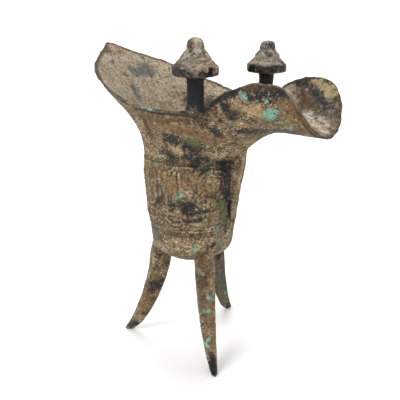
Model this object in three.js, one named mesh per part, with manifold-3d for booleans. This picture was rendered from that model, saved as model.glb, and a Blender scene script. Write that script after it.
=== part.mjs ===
import * as THREE from 'three';
import { mergeVertices } from 'three/addons/utils/BufferGeometryUtils.js';
import Module from 'manifold-3d';

// A bronze jue: a tripod wine cup with a spout, a pointed tail and two capped posts on the rim.
// Millimetres, +Z up. +X runs along the spout, -X along the tail, and the handle is on +Y.
// The shapes are worked out in a frame whose Z axis is the axis of the cup, and at the end the
// whole casting is moved so that the origin is under the middle of its box, on the floor.
const HEIGHT = 200;
const CENTRE_X = 7.0;
const CENTRE_Y = 1.7;

// Cup: the bowl at the bottom is half an ellipsoid, and the wall above it is a profile of
// [height, radius] that flares into the mouth.
const BOWL_LOW = 65.5;
const BOWL_RISE = 12.5;
const BOWL_RADIUS = 26;
const BOWL_TOP = BOWL_LOW + BOWL_RISE;
const CUP_PROFILE = [
  [78, 26.0], [90, 27.3], [100, 28.3], [110, 28.9], [122, 29.4], [136, 29.6], [145, 31.2],
  [152, 34.3], [160, 39.6], [165, 43.8], [170, 47.9], [175, 51.9], [180, 56.0], [185, 60.6],
  [190, 65.8], [193, 69.4], [195.5, 73.0], [199, 78.6],
];
const SHOULDER = 135;
const WALL = 2.3;

// Decor band: a step above the plain zone, a border ridge at each edge, as [height, rise].
const BAND_STEPS = [
  [89.6, 0], [90.6, 0.5], [91.6, 1.1], [93.2, 1.1], [94.4, 0.3],
  [129.6, 0.3], [130.8, 1.1], [132.4, 1.1], [133.6, 0],
];

// Spout: a channel of U section with a level floor, its half width at stations along X.
const SPOUT_FLOOR = 154;
const SPOUT_FLOOR_START = 65;
const SPOUT_FLOOR_DROP = 0.0178;
const SPOUT_SPRING = 179;
const SPOUT_BACK = 12;
const SPOUT_WIDTHS = [
  [0, 25], [12, 27.5], [20, 32.5], [29, 37.2], [36, 34.4], [45, 30.3], [54, 28.2], [63.5, 27.2],
  [71, 25.9], [76, 25.2], [90, 24.8],
];
const THROAT_TAPER = 0.45;
const THROAT_END = 54;
const THROAT_LENGTH = 28;
const BODY_FILLET = 0.05;
const THROAT_FILLET = 4;
const THROAT_FILLET_LOW = 131;
const THROAT_FILLET_RISE = 14;

// Rim seen from the side, [x, z], from the tip of the tail to the lip of the spout.
const RIM_SIDE = [
  [-73, 195.5], [-61, 188.2], [-50, 183.2], [-38, 178.2], [-25, 172.9], [-10, 168.2], [5, 164.9],
  [18, 164.0], [29.3, 164.8], [36, 168.4], [45, 174.7], [54, 178.6], [63.5, 180.2], [71, 179.4],
  [76, 176.6], [79.5, 172.0], [82.2, 166.3], [84.6, 160.2], [86.3, 156.2], [87, 154.0],
];

// Posts: stem and cap as one profile of [radius, height], standing on the rim.
const POST_X = 29.3;
const POST_Y = 33.0;
const RIM_AT_POST = 164.6;
const STEM_RADIUS = 3.9;
const POST_FOOT_PROFILE = [
  [0, 158], [1.6, 158], [4.1, 163.6], [4.7, 165.2], [4.5, 166.8], [STEM_RADIUS, 168],
];
const CAP_PROFILE = [
  [STEM_RADIUS, 181.6], [10.4, 182.7], [11.5, 183.6], [11.4, 186.9], [8.4, 188.9], [5.4, 192.3],
  [4.1, 195.4], [3.6, 198.0], [2.4, 199.4], [0, HEIGHT],
];
const ROOT_LEAN = 0.55;
const FAR_POST_DROP = 1.5;

// The near and the far post. A chip is broken out of the brim of each cap, at an azimuth.
const POSTS = [
  { side: -1, notchAzimuth: 20, drop: 0 },
  { side: 1, notchAzimuth: 235, drop: FAR_POST_DROP },
];
const NOTCH_RADIUS = 3;
const NOTCH_REACH = 11.8;
const NOTCH_HEIGHT = 183;

// Legs: [height, outer ridge, inner edge, half width], the two edges as distances from the axis.
const LEG_STATIONS = [
  [0, 50.6, 44.1, 1.6], [5, 47.4, 38.4, 2.6], [13, 43.4, 32.6, 3.6], [23, 39.4, 27.1, 4.4],
  [34, 35.5, 22.4, 5.0], [44, 32.8, 18.7, 5.2], [54, 30.7, 16.0, 5.4], [66, 29.0, 14.2, 5.6],
  [78, 26.4, 13.5, 5.6],
];
const LEG_TOP = 76;
const SPLAY_TOP = 66;
const SPLAY_POWER = 1.5;
const LEG_BEVEL_SHARE = 0.3;
const LEG_INNER_FLAT = 0.35;
const LEGS = [
  { azimuth: 210, footShift: 0, shift: 0 },
  { azimuth: -31.5, footShift: -4.5, shift: 0 },
  { azimuth: 92.6, footShift: -4.2, shift: 2.4 },
];

// Strap handle on +Y: its centre line as [y, z], and its section.
const HANDLE_PATH = [
  [27.6, 131], [34, 132.4], [40.5, 130.5], [43.6, 124], [44.2, 114], [42.6, 104.5], [37, 98.4],
  [27.2, 96.8],
];
const HANDLE_WIDTH = 9;
const HANDLE_THICKNESS = 3.2;
const HANDLE_CORNER_SHARE = 0.55;

// Flanges under the spout and under the tail: the outer edge as [distance from the axis, height].
const FRONT_FLANGE = [
  [39.9, 143.0], [38.6, 139.4], [38.3, 132.8], [37.4, 127.8], [35.7, 120.1], [34.0, 111.2],
  [32.2, 101.2], [31.1, 94.6], [29.4, 88.9], [28.2, 84.8],
];
const BACK_FLANGE = [
  [31.4, 143.0], [35.6, 138.6], [36.8, 131.0], [35.6, 120.1], [33.6, 108.0], [31.2, 96.0],
  [28.8, 88.0],
];
const FLANGE_THICKNESS = 4.4;
const FLANGE_SEAT = 26.6;
const FLANGE_FOOT_SINK = 1.4;
const FLANGE_FOOT_DROP = 4;

// Mask relief in all four quarters: brow, snout, jaw, horn and curl, as [degrees from the flange,
// height].
const RELIEF_RADIUS = 1.15;
const RELIEF_LIFT = 0.2;
const EYE = { angle: 27, height: 114.5, radius: 4.6, rise: 1.7 };
const EYE_SIDES = 10;
const EYE_ROWS = 8;
const RELIEF_LINES = [
  [[12, 121], [22, 125.5], [36, 125], [45, 119.5], [43, 112]],
  [[13, 109], [20, 104], [30, 103.5], [37, 107]],
  [[14, 99.5], [28, 98], [44, 98.6], [52, 104], [47, 107.5]],
  [[55, 112], [56, 122], [63, 126], [71, 122], [70, 112], [64, 108.5]],
  [[62, 98.4], [72, 98.8], [77, 103], [72, 106], [66.5, 103.4]],
];

// Fineness of the facets.
const HALF_COLUMNS = 23;
const MOUTH_ROWS = 12;
const INNER_MOUTH_ROWS = 7;
const BOWL_ROWS = 5;
const BAND_MIDDLE = 112;
const BODY_HEIGHTS = [
  BOWL_TOP, ...BAND_STEPS.map(([z]) => z), BAND_MIDDLE, SHOULDER,
].sort((a, b) => a - b);
const INNER_BODY_HEIGHTS = [BOWL_TOP, 90, 106, 122, SHOULDER];
const POST_SIDES = 14;
const RELIEF_SIDES = 4;
const RELIEF_STEPS = 2;
const HANDLE_STEPS = 18;

// Search for the wall: rays leave a point on the axis, in the mouth, and march outwards.
const RAY_HEIGHT = 170;
const RAY_ROWS = 90;
const RIM_SAMPLES = 300;
const TURN_SHARE = 0.87;
const BISECTIONS = 34;
const MARCH_STEP = 1.3;
const MARCH_FROM = 10;
const MARCH_TO = 128;
const WIDEST = 60;

const WELD = 0.0005;
const DEGREE = Math.PI / 180;

// Smooth curve through a table of [x, y] rows, by cubic pieces with averaged slopes.
function curve(table, x) {
  const last = table.length - 1;
  let index = 0;
  while (index < last - 1 && x > table[index + 1][0]) index += 1;
  const slope = (i) => {
    if (i === 0) return (table[1][1] - table[0][1]) / (table[1][0] - table[0][0]);
    if (i === last) return (table[last][1] - table[last - 1][1]) / (table[last][0] - table[last - 1][0]);
    const before = table[i][0] - table[i - 1][0];
    const after = table[i + 1][0] - table[i][0];
    const left = (table[i][1] - table[i - 1][1]) / before;
    const right = (table[i + 1][1] - table[i][1]) / after;
    return (left * after + right * before) / (before + after);
  };
  const step = table[index + 1][0] - table[index][0];
  const t = THREE.MathUtils.clamp((x - table[index][0]) / step, 0, 1);
  const start = (2 * t ** 3 - 3 * t ** 2 + 1) * table[index][1];
  const end = (3 * t ** 2 - 2 * t ** 3) * table[index + 1][1];
  const bend = (t ** 3 - 2 * t ** 2 + t) * slope(index) + (t ** 3 - t ** 2) * slope(index + 1);
  return start + end + step * bend;
}

// Straight lines through the same kind of table, level beyond its ends.
function straight(table, x) {
  if (x <= table[0][0]) return table[0][1];
  for (let i = 1; i < table.length; i += 1) {
    if (x <= table[i][0]) {
      const share = (x - table[i - 1][0]) / (table[i][0] - table[i - 1][0]);
      return THREE.MathUtils.lerp(table[i - 1][1], table[i][1], share);
    }
  }
  return table[table.length - 1][1];
}

// Outer radius of the turned cup at a height, without the band.
function cupRadius(z) {
  if (z < BOWL_TOP) {
    const fall = (BOWL_TOP - z) / BOWL_RISE;
    return BOWL_RADIUS * Math.sqrt(Math.max(0, 1 - fall * fall));
  }
  return curve(CUP_PROFILE, z);
}

// Rough distance to the spout channel, below zero inside it.
function spoutDistance(x, y, z) {
  const floor = SPOUT_FLOOR - SPOUT_FLOOR_DROP * Math.max(0, SPOUT_FLOOR_START - x) ** 2;
  const depth = Math.max(0, (SPOUT_SPRING - z) / (SPOUT_SPRING - floor));
  const taper = THROAT_TAPER * THREE.MathUtils.smoothstep(THROAT_END - x, 0, THROAT_LENGTH);
  const halfWidth = curve(SPOUT_WIDTHS, x) * (1 - taper * depth * depth);
  const across = Math.abs(y) / halfWidth;
  const size = Math.min(halfWidth, SPOUT_SPRING - floor);
  return Math.max((Math.hypot(across, depth) - 1) * size, SPOUT_BACK - x);
}

// Rough distance to the outside of the vessel: the turned cup and the spout channel, joined with
// a fillet that grows above the shoulder.
function vesselDistance(x, y, z) {
  const flare = z > SHOULDER ? cupRadius(z + 0.5) - cupRadius(z - 0.5) : 0;
  const cup = (Math.hypot(x, y) - cupRadius(z)) / Math.hypot(1, flare);
  const spout = spoutDistance(x, y, z);
  const blend = THREE.MathUtils.smoothstep(z, THROAT_FILLET_LOW, THROAT_FILLET_LOW + THROAT_FILLET_RISE);
  const fillet = BODY_FILLET + THROAT_FILLET * blend;
  const share = THREE.MathUtils.clamp(0.5 + 0.5 * (spout - cup) / fillet, 0, 1);
  return THREE.MathUtils.lerp(spout, cup, share) - fillet * share * (1 - share);
}

// Halves the span from inside to outside until the wall is found.
function findWall(distanceAt, inside, outside) {
  let low = inside;
  let high = outside;
  for (let i = 0; i < BISECTIONS; i += 1) {
    const middle = (low + high) / 2;
    if (distanceAt(middle) <= 0) low = middle;
    else high = middle;
  }
  return (low + high) / 2;
}

// Resamples a polyline so that its points lie evenly along it.
function even(points, count) {
  const lengths = [0];
  for (let i = 1; i < points.length; i += 1) {
    lengths.push(lengths[i - 1] + points[i].distanceTo(points[i - 1]));
  }
  const total = lengths[lengths.length - 1];
  const result = [];
  let index = 1;
  for (let i = 0; i < count; i += 1) {
    const target = total * i / (count - 1);
    while (index < points.length - 1 && lengths[index] < target) index += 1;
    const share = (target - lengths[index - 1]) / (lengths[index] - lengths[index - 1]);
    result.push(points[index - 1].clone().lerp(points[index], THREE.MathUtils.clamp(share, 0, 1)));
  }
  return result;
}

// Half of the rim, tail tip to lip: the side view gives x and z, the wall gives y.
function halfRim() {
  const side = RIM_SIDE.map(([x, z]) => new THREE.Vector3(x, 0, z));
  const path = new THREE.CatmullRomCurve3(side, false, 'centripetal');
  const points = [];
  for (let i = 0; i <= RIM_SAMPLES; i += 1) {
    const point = path.getPoint((1 - Math.cos(Math.PI * i / RIM_SAMPLES)) / 2);
    const isEnd = i === 0 || i === RIM_SAMPLES;
    point.y = isEnd ? 0 : findWall((y) => vesselDistance(point.x, y, point.z), 0, WIDEST);
    points.push(point);
  }
  return even(points, HALF_COLUMNS + 1);
}

// Points of the outside on one meridian, from the shoulder up to the rim point. Rays from a point
// on the axis sweep from one to the other, and turn from an even azimuth to the rim's own.
function mouthMeridian(evenAzimuth, rimPoint, mouthRows) {
  const rimAzimuth = Math.atan2(rimPoint.y, rimPoint.x);
  const lowAngle = Math.atan2(SHOULDER - RAY_HEIGHT, cupRadius(SHOULDER));
  const highAngle = Math.atan2(rimPoint.z - RAY_HEIGHT, Math.hypot(rimPoint.x, rimPoint.y));
  const points = [];
  for (let i = 0; i < RAY_ROWS; i += 1) {
    const share = i / RAY_ROWS;
    const angle = THREE.MathUtils.lerp(lowAngle, highAngle, share);
    const turn = THREE.MathUtils.smoothstep(share, 0, TURN_SHARE);
    const azimuth = THREE.MathUtils.lerp(evenAzimuth, rimAzimuth, turn);
    const ray = new THREE.Vector3(
      Math.cos(angle) * Math.cos(azimuth), Math.cos(angle) * Math.sin(azimuth), Math.sin(angle),
    );
    const distanceAt = (t) => vesselDistance(ray.x * t, ray.y * t, RAY_HEIGHT + ray.z * t);
    let reach = MARCH_FROM;
    while (reach < MARCH_TO && distanceAt(reach + MARCH_STEP) <= 0) reach += MARCH_STEP;
    const wall = findWall(distanceAt, reach, reach + MARCH_STEP);
    points.push(new THREE.Vector3(ray.x * wall, ray.y * wall, RAY_HEIGHT + ray.z * wall));
  }
  points.push(rimPoint.clone());
  return even(points, mouthRows + 1);
}

// Rows of the outside, bowl to rim, each a closed ring of points round the vessel.
function outsideRows(bodyHeights, mouthRows, withBand) {
  const rim = halfRim();
  const columns = rim.map((point, i) => {
    const azimuth = Math.PI * (1 - i / HALF_COLUMNS);
    const heights = [];
    for (let k = 1; k < BOWL_ROWS; k += 1) {
      heights.push(BOWL_LOW + BOWL_RISE * (1 - Math.cos(Math.PI / 2 * k / BOWL_ROWS)));
    }
    heights.push(...bodyHeights);
    const low = heights.map((z) => {
      const radius = cupRadius(z) + (withBand ? straight(BAND_STEPS, z) : 0);
      return new THREE.Vector3(radius * Math.cos(azimuth), radius * Math.sin(azimuth), z);
    });
    return low.concat(mouthMeridian(azimuth, point, mouthRows).slice(1));
  });
  const rows = columns[0].map((_, row) => {
    const half = columns.map((column) => column[row]);
    const mirrored = half.slice(1, -1).reverse().map((p) => new THREE.Vector3(p.x, -p.y, p.z));
    return half.concat(mirrored);
  });
  return rows;
}

// Moves each point of the rows inwards by the wall, square to the surface.
function insideRows(rows) {
  const count = rows[0].length;
  return rows.map((row, i) => row.map((point, j) => {
    const below = rows[Math.max(0, i - 1)][j];
    const above = rows[Math.min(rows.length - 1, i + 1)][j];
    const before = row[(j + count - 1) % count];
    const after = row[(j + 1) % count];
    const up = above.clone().sub(below);
    const along = after.clone().sub(before);
    const outward = up.cross(along).normalize();
    return point.clone().addScaledVector(outward, -WALL);
  }));
}

// Closed mesh from rings of equal length. A first or last point closes an end as a fan.
function loft(rings, firstPoint, lastPoint) {
  const positions = [];
  rings.forEach((ring) => ring.forEach((p) => positions.push(p.x, p.y, p.z)));
  const count = rings[0].length;
  const first = positions.length / 3;
  positions.push(firstPoint.x, firstPoint.y, firstPoint.z);
  positions.push(lastPoint.x, lastPoint.y, lastPoint.z);
  const index = [];
  for (let j = 0; j < count; j += 1) {
    const next = (j + 1) % count;
    index.push(first, next, j);
    for (let i = 0; i < rings.length - 1; i += 1) {
      const a = i * count + j;
      const b = i * count + next;
      index.push(a, b, b + count, a, b + count, a + count);
    }
    const top = (rings.length - 1) * count;
    index.push(first + 1, top + j, top + next);
  }
  const geometry = new THREE.BufferGeometry();
  geometry.setAttribute('position', new THREE.Float32BufferAttribute(positions, 3));
  geometry.setIndex(index);
  return geometry;
}

function ringCentre(ring) {
  const centre = new THREE.Vector3();
  ring.forEach((point) => centre.add(point));
  return centre.divideScalar(ring.length);
}

// One leg: rings of five points, an outer ridge with a bevel on each side and a blunt inner edge.
function legGeometry({ azimuth, footShift, shift }) {
  const radial = new THREE.Vector3(Math.cos(azimuth * DEGREE), Math.sin(azimuth * DEGREE), 0);
  const across = new THREE.Vector3(-radial.y, radial.x, 0);
  const heights = LEG_STATIONS.map((row) => row[0]).filter((z) => z < LEG_TOP).concat(LEG_TOP);
  const rings = heights.map((z) => {
    const column = (k) => curve(LEG_STATIONS.map((row) => [row[0], row[k]]), z);
    const splay = footShift * Math.max(0, 1 - z / SPLAY_TOP) ** SPLAY_POWER + shift;
    const outer = column(1) + splay;
    const inner = column(2) + splay;
    const half = column(3);
    const edge = THREE.MathUtils.lerp(outer, inner, LEG_BEVEL_SHARE);
    const flat = half * LEG_INNER_FLAT;
    const section = [[outer, 0], [edge, half], [inner, flat], [inner, -flat], [edge, -half]];
    return section.map(([r, t]) => radial.clone().multiplyScalar(r).addScaledVector(across, t).setZ(z));
  });
  return loft(rings, ringCentre(rings[0]), ringCentre(rings[rings.length - 1]));
}

// A post and its cap, turned, with a root that leans into the wall below the rim.
function postGeometry({ side, drop }) {
  const foot = POST_FOOT_PROFILE.map(([radius, z]) => new THREE.Vector2(radius, z));
  const cap = CAP_PROFILE.map(([radius, z]) => new THREE.Vector2(radius, z - drop));
  const geometry = new THREE.LatheGeometry(foot.concat(cap), POST_SIDES);
  geometry.rotateX(Math.PI / 2);
  const position = geometry.getAttribute('position');
  for (let i = 0; i < position.count; i += 1) {
    const lean = Math.max(0, RIM_AT_POST - position.getZ(i)) * ROOT_LEAN;
    const scale = 1 - lean / Math.hypot(POST_X, POST_Y);
    position.setX(i, position.getX(i) + POST_X * scale);
    position.setY(i, position.getY(i) + side * POST_Y * scale);
  }
  return geometry;
}

// A plate in the XZ plane from the cup wall out to a listed edge.
function flangeGeometry(edge, side) {
  const shape = new THREE.Shape();
  shape.moveTo(FLANGE_SEAT, edge[0][1]);
  edge.forEach(([x, z]) => shape.lineTo(x, z));
  shape.lineTo(FLANGE_SEAT - FLANGE_FOOT_SINK, edge[edge.length - 1][1] - FLANGE_FOOT_DROP);
  shape.closePath();
  const geometry = new THREE.ExtrudeGeometry(shape, { depth: FLANGE_THICKNESS, bevelEnabled: false });
  geometry.translate(0, 0, -FLANGE_THICKNESS / 2);
  geometry.rotateX(Math.PI / 2);
  if (side < 0) geometry.rotateZ(Math.PI);
  return geometry;
}

// Corners of a strap's section, a flat rectangle with its corners cut.
function strapSection(halfWidth, halfThickness) {
  const cut = halfThickness * HANDLE_CORNER_SHARE;
  const quarter = [[halfThickness, halfWidth - cut], [halfThickness - cut, halfWidth]];
  const upper = quarter.concat(quarter.map(([x, y]) => [-x, y]).reverse());
  return upper.concat(upper.map(([x, y]) => [-x, -y])).map(([x, y]) => new THREE.Vector2(x, y));
}

// Strap handle: rings of eight points along a path in the YZ plane.
function handleGeometry() {
  const points = HANDLE_PATH.map(([y, z]) => new THREE.Vector3(0, y, z));
  const path = new THREE.CatmullRomCurve3(points, false, 'centripetal');
  const section = strapSection(HANDLE_WIDTH / 2, HANDLE_THICKNESS / 2);
  const rings = [];
  for (let i = 0; i <= HANDLE_STEPS; i += 1) {
    const point = path.getPoint(i / HANDLE_STEPS);
    const tangent = path.getTangent(i / HANDLE_STEPS);
    const outward = new THREE.Vector3(0, -tangent.z, tangent.y);
    rings.push(section.map((p) => point.clone().addScaledVector(outward, p.x).setX(p.y)));
  }
  return loft(rings, ringCentre(rings[0]), ringCentre(rings[HANDLE_STEPS]));
}

// Position on the ground of the decor band. Quarter 0 is +X+Y, and the others mirror it.
function bandPoint([angle, z], quarter, rise) {
  const radius = cupRadius(z) + straight(BAND_STEPS, z) + rise;
  const signX = quarter === 1 || quarter === 2 ? -1 : 1;
  const signY = quarter >= 2 ? -1 : 1;
  return new THREE.Vector3(
    signX * radius * Math.cos(angle * DEGREE), signY * radius * Math.sin(angle * DEGREE), z,
  );
}

function reliefGeometry(points, quarter) {
  const places = points.map((point) => bandPoint(point, quarter, RELIEF_LIFT));
  const path = new THREE.CatmullRomCurve3(places, false, 'centripetal');
  const corners = [];
  for (let k = 0; k < RELIEF_SIDES; k += 1) {
    const angle = 2 * Math.PI * k / RELIEF_SIDES;
    corners.push(new THREE.Vector2(RELIEF_RADIUS * Math.cos(angle), RELIEF_RADIUS * Math.sin(angle)));
  }
  const steps = RELIEF_STEPS * (points.length - 1);
  return new THREE.ExtrudeGeometry(new THREE.Shape(corners), { steps, extrudePath: path });
}

function eyeGeometry(quarter) {
  const geometry = new THREE.SphereGeometry(1, EYE_SIDES, EYE_ROWS);
  geometry.scale(EYE.rise, EYE.radius, EYE.radius);
  const place = bandPoint([EYE.angle, EYE.height], quarter, 0);
  geometry.rotateZ(Math.atan2(place.y, place.x));
  geometry.translate(place.x, place.y, place.z);
  return geometry;
}

// A chip broken out of the brim of a cap.
function notchGeometry({ side, notchAzimuth, drop }) {
  const angle = notchAzimuth * DEGREE;
  const geometry = new THREE.IcosahedronGeometry(NOTCH_RADIUS, 0);
  const x = POST_X + NOTCH_REACH * Math.cos(angle);
  const y = side * POST_Y + NOTCH_REACH * Math.sin(angle);
  geometry.translate(x, y, NOTCH_HEIGHT - drop);
  return geometry;
}

const wasm = await Module();
wasm.setup();

// Turns a closed geometry into a solid for joins and cuts, with its faces pointing outwards.
function solid(source) {
  const bare = source.clone();
  bare.deleteAttribute('normal');
  bare.deleteAttribute('uv');
  const geometry = mergeVertices(bare, WELD);
  const vertProperties = new Float32Array(geometry.getAttribute('position').array);
  const triVerts = new Uint32Array(geometry.index.array);
  if (signedVolume(vertProperties, triVerts) < 0) {
    for (let i = 0; i < triVerts.length; i += 3) {
      const keep = triVerts[i];
      triVerts[i] = triVerts[i + 1];
      triVerts[i + 1] = keep;
    }
  }
  return new wasm.Manifold(new wasm.Mesh({ numProp: 3, vertProperties, triVerts }));
}

// Volume of a closed mesh, negative when its faces point inwards.
function signedVolume(positions, index) {
  const a = new THREE.Vector3();
  const b = new THREE.Vector3();
  const c = new THREE.Vector3();
  let volume = 0;
  for (let i = 0; i < index.length; i += 3) {
    a.fromArray(positions, 3 * index[i]);
    b.fromArray(positions, 3 * index[i + 1]);
    c.fromArray(positions, 3 * index[i + 2]);
    volume += a.dot(b.cross(c)) / 6;
  }
  return volume;
}

// The whole casting: the open shell, what is cast on its outside, and the posts on its rim.
function casting() {
  const outside = outsideRows(BODY_HEIGHTS, MOUTH_ROWS, true);
  const inside = insideRows(outsideRows(INNER_BODY_HEIGHTS, INNER_MOUTH_ROWS, false));
  const bowlLow = new THREE.Vector3(0, 0, BOWL_LOW);
  const cavityLow = new THREE.Vector3(0, 0, BOWL_LOW + WALL);
  const mouth = new THREE.Vector3(0, 0, RAY_HEIGHT);
  const cavity = solid(loft(inside, cavityLow, mouth));
  const shell = solid(loft(outside.concat(inside.slice().reverse()), bowlLow, cavityLow));

  const attached = LEGS.map(legGeometry);
  attached.push(flangeGeometry(FRONT_FLANGE, 1), flangeGeometry(BACK_FLANGE, -1), handleGeometry());
  for (let quarter = 0; quarter < 4; quarter += 1) {
    RELIEF_LINES.forEach((points) => attached.push(reliefGeometry(points, quarter)));
    attached.push(eyeGeometry(quarter));
  }
  let outer = solid(attached[0]);
  attached.slice(1).forEach((geometry) => { outer = outer.add(solid(geometry)); });

  let metal = shell.add(outer.subtract(cavity));
  POSTS.forEach((post) => {
    metal = metal.add(solid(postGeometry(post)).subtract(solid(notchGeometry(post))));
  });
  return metal;
}

function toGeometry(manifold) {
  const mesh = manifold.getMesh();
  const geometry = new THREE.BufferGeometry();
  geometry.setAttribute('position', new THREE.Float32BufferAttribute(mesh.vertProperties, mesh.numProp));
  geometry.setIndex(Array.from(mesh.triVerts));
  geometry.translate(-CENTRE_X, -CENTRE_Y, 0);
  geometry.computeVertexNormals();
  return geometry;
}

const bronze = new THREE.MeshStandardMaterial({ color: 0x7d6b4f, roughness: 0.72, metalness: 0.55 });
const jue = new THREE.Mesh(toGeometry(casting()), bronze);
jue.name = 'bronze_jue';

const group = new THREE.Group();
group.add(jue);

export default group;
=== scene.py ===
"""Looks of a bronze jue: a tripod wine cup with a spout, a tail and two capped posts on its rim.

Shapes are worked out in millimetres in the frame of the cup's axis, with +X along the spout and
+Z up, and become metres in the row frame when a mesh is made.
"""

import logging
import math
from collections.abc import Callable
from dataclasses import dataclass, field
from enum import Enum, IntEnum

import bmesh
import bpy
import numpy as np
from mathutils import Matrix, Vector


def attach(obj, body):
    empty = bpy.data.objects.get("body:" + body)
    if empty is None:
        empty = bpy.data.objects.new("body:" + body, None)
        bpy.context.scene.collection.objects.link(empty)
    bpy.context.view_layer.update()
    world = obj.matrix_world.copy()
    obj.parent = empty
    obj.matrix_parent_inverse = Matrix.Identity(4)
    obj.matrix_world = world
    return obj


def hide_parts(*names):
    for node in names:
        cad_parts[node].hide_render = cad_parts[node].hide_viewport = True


Array = np.ndarray
Tree = bpy.types.NodeTree
Socket = bpy.types.NodeSocket

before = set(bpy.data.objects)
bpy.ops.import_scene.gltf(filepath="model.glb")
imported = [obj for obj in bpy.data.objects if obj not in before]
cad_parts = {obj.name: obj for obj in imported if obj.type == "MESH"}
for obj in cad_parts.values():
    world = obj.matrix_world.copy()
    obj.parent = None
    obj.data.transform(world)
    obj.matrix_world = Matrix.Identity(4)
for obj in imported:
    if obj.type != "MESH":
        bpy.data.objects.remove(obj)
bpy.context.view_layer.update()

CASTING_NODE = "bronze_jue"
CASTING_NAME = "bronze_jue_casting"
MILLIMETRE = 0.001
FACTOR, UNDER, OVER, MIXED = 0, 6, 7, 2  # inputs of a colour mix, and its output
VALUE_UNDER, VALUE_OVER = 2, 3  # inputs of a number mix
AXIS_TO_ROW = np.array([-7.0, -1.7, 0.0])

log = logging.getLogger("jue")


class Seed(IntEnum):
    """Which field of lump noise is meant."""

    LUMPS = 3
    NOTCH = 5
    CRUST = 7
    FLANGE = 11
    CHIPS = 19
    WEAR = 31
    BORDER = 37
    WANDER_ALONG = 41
    WANDER_UP = 43
    PATCH_X = 51
    PATCH_Y = 53
    PATCH_Z = 57


# ---------------------------------------------------------------- curves and noise


def table_curve(table: Array, at: Array) -> Array:
    """Smooth curve through rows of [x, y].

    Between two rows it is the cubic with their values and slopes, where a slope is the weighted
    mean of the slopes beside the row. Beyond the ends it is level.

    Args:
        table: rows of [x, y] with x rising.
        at: places x, of any shape.

    Returns:
        The values y, in the shape of `at`.
    """
    xs, ys = table[:, 0], table[:, 1]
    slopes = np.gradient(ys, xs)
    left = np.clip(np.searchsorted(xs, at) - 1, 0, len(xs) - 2)
    step = xs[left + 1] - xs[left]
    t = np.clip((at - xs[left]) / step, 0, 1)
    start = (2 * t**3 - 3 * t**2 + 1) * ys[left]
    end = (3 * t**2 - 2 * t**3) * ys[left + 1]
    bend = (t**3 - 2 * t**2 + t) * slopes[left] + (t**3 - t**2) * slopes[left + 1]
    return start + end + step * bend


def smooth_step(value: Array, low: float, high: float) -> Array:
    """0 below low, 1 above high, and the cubic 3t^2 - 2t^3 between."""
    t = np.clip((value - low) / (high - low), 0, 1)
    return t * t * (3 - 2 * t)


def lattice_value(cell: Array, seed: int) -> Array:
    """A fixed number from 0 to 1 for each whole-number cell, by mixing its three indices.

    Args:
        cell: whole numbers, last axis of three.
        seed: changes the whole field.

    Returns:
        One number for each cell.
    """
    mask = 0xFFFFFFFF
    mixed = cell[..., 0] * 374761393 + cell[..., 1] * 668265263 + cell[..., 2] * 1440662683
    mixed = (mixed + seed * 1274126177) & mask
    mixed = ((mixed ^ (mixed >> 13)) * 1274126177) & mask
    mixed = ((mixed ^ (mixed >> 15)) * 97531) & mask
    return ((mixed >> 8) & 0xFFFF) / 65535.0


def lump_noise(points: Array, size: float, seed: int, octaves: int = 1) -> Array:
    """Value noise from -1 to 1: lattice values blended by smooth weights along each axis.

    Args:
        points: places in mm, last axis of three.
        size: width of the largest lumps in mm.
        seed: changes the field.
        octaves: each further one has half the size and half the height.

    Returns:
        The sum of the octaves, divided by the sum of their heights.
    """
    total = np.zeros(points.shape[:-1])
    height, heights = 1.0, 0.0
    for octave in range(octaves):
        scaled = points / (size / 2**octave)
        cell = np.floor(scaled).astype(np.int64)
        t = scaled - cell
        t = t * t * (3 - 2 * t)
        value = np.zeros(points.shape[:-1])
        for corner in range(8):
            offset = np.array([corner & 1, (corner >> 1) & 1, corner >> 2])
            weight = np.prod(np.where(offset == 1, t, 1 - t), axis=-1)
            value += weight * lattice_value(cell + offset, seed + 17 * octave)
        total += height * (2 * value - 1)
        heights += height
        height *= 0.5
    return total / heights


def line_distance(points: Array, path: Array) -> Array:
    """Distance in the plane from each point to a path of straight pieces.

    The foot on each piece is the point's projection, clamped to the piece, and the shortest of
    the distances to the feet counts.

    Args:
        points: places, last axis of two.
        path: corners of the path, rows of two.

    Returns:
        One distance for each point.
    """
    nearest = np.full(points.shape[:-1], np.inf)
    for start, end in zip(path[:-1], path[1:]):
        along = end - start
        share = np.clip(((points - start) @ along) / max(along @ along, 1e-9), 0, 1)
        gap = points - start - share[..., None] * along
        nearest = np.minimum(nearest, np.hypot(gap[..., 0], gap[..., 1]))
    return nearest


def walked_length(path: Array) -> Array:
    """Length walked along a path of straight pieces, at each of its corners."""
    return np.r_[0, np.cumsum(np.linalg.norm(np.diff(path, axis=0), axis=1))]


def rounded_path(corners: Array, steps: int) -> Array:
    """Smooth path through corners: each coordinate is a table curve over the length walked.

    Args:
        corners: points, rows of two or three.
        steps: number of points wanted.

    Returns:
        Points evenly placed along the walk.
    """
    walked = walked_length(corners)
    at = np.linspace(0, walked[-1], steps)
    columns = [table_curve(np.column_stack([walked, c]), at) for c in corners.T]
    return np.column_stack(columns)


def even_rows(points: Array, count: int) -> Array:
    """Resamples each column of a grid of points so that its rows lie evenly along the column.

    Args:
        points: rows x columns x 3.
        count: rows wanted.

    Returns:
        count x columns x 3, with the first and last row kept.
    """
    steps = np.linalg.norm(np.diff(points, axis=0), axis=-1)
    walked = np.concatenate([np.zeros((1, points.shape[1])), np.cumsum(steps, axis=0)])
    wanted = np.linspace(0, 1, count)[:, None] * walked[-1]
    before = (walked[None] <= wanted[:, None]).sum(axis=1) - 1
    before = np.clip(before, 0, len(points) - 2)
    start = np.take_along_axis(walked, before, axis=0)
    end = np.take_along_axis(walked, before + 1, axis=0)
    share = ((wanted - start) / np.maximum(end - start, 1e-9))[..., None]
    low = np.take_along_axis(points, before[..., None], axis=0)
    high = np.take_along_axis(points, before[..., None] + 1, axis=0)
    return low + share * (high - low)


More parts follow.
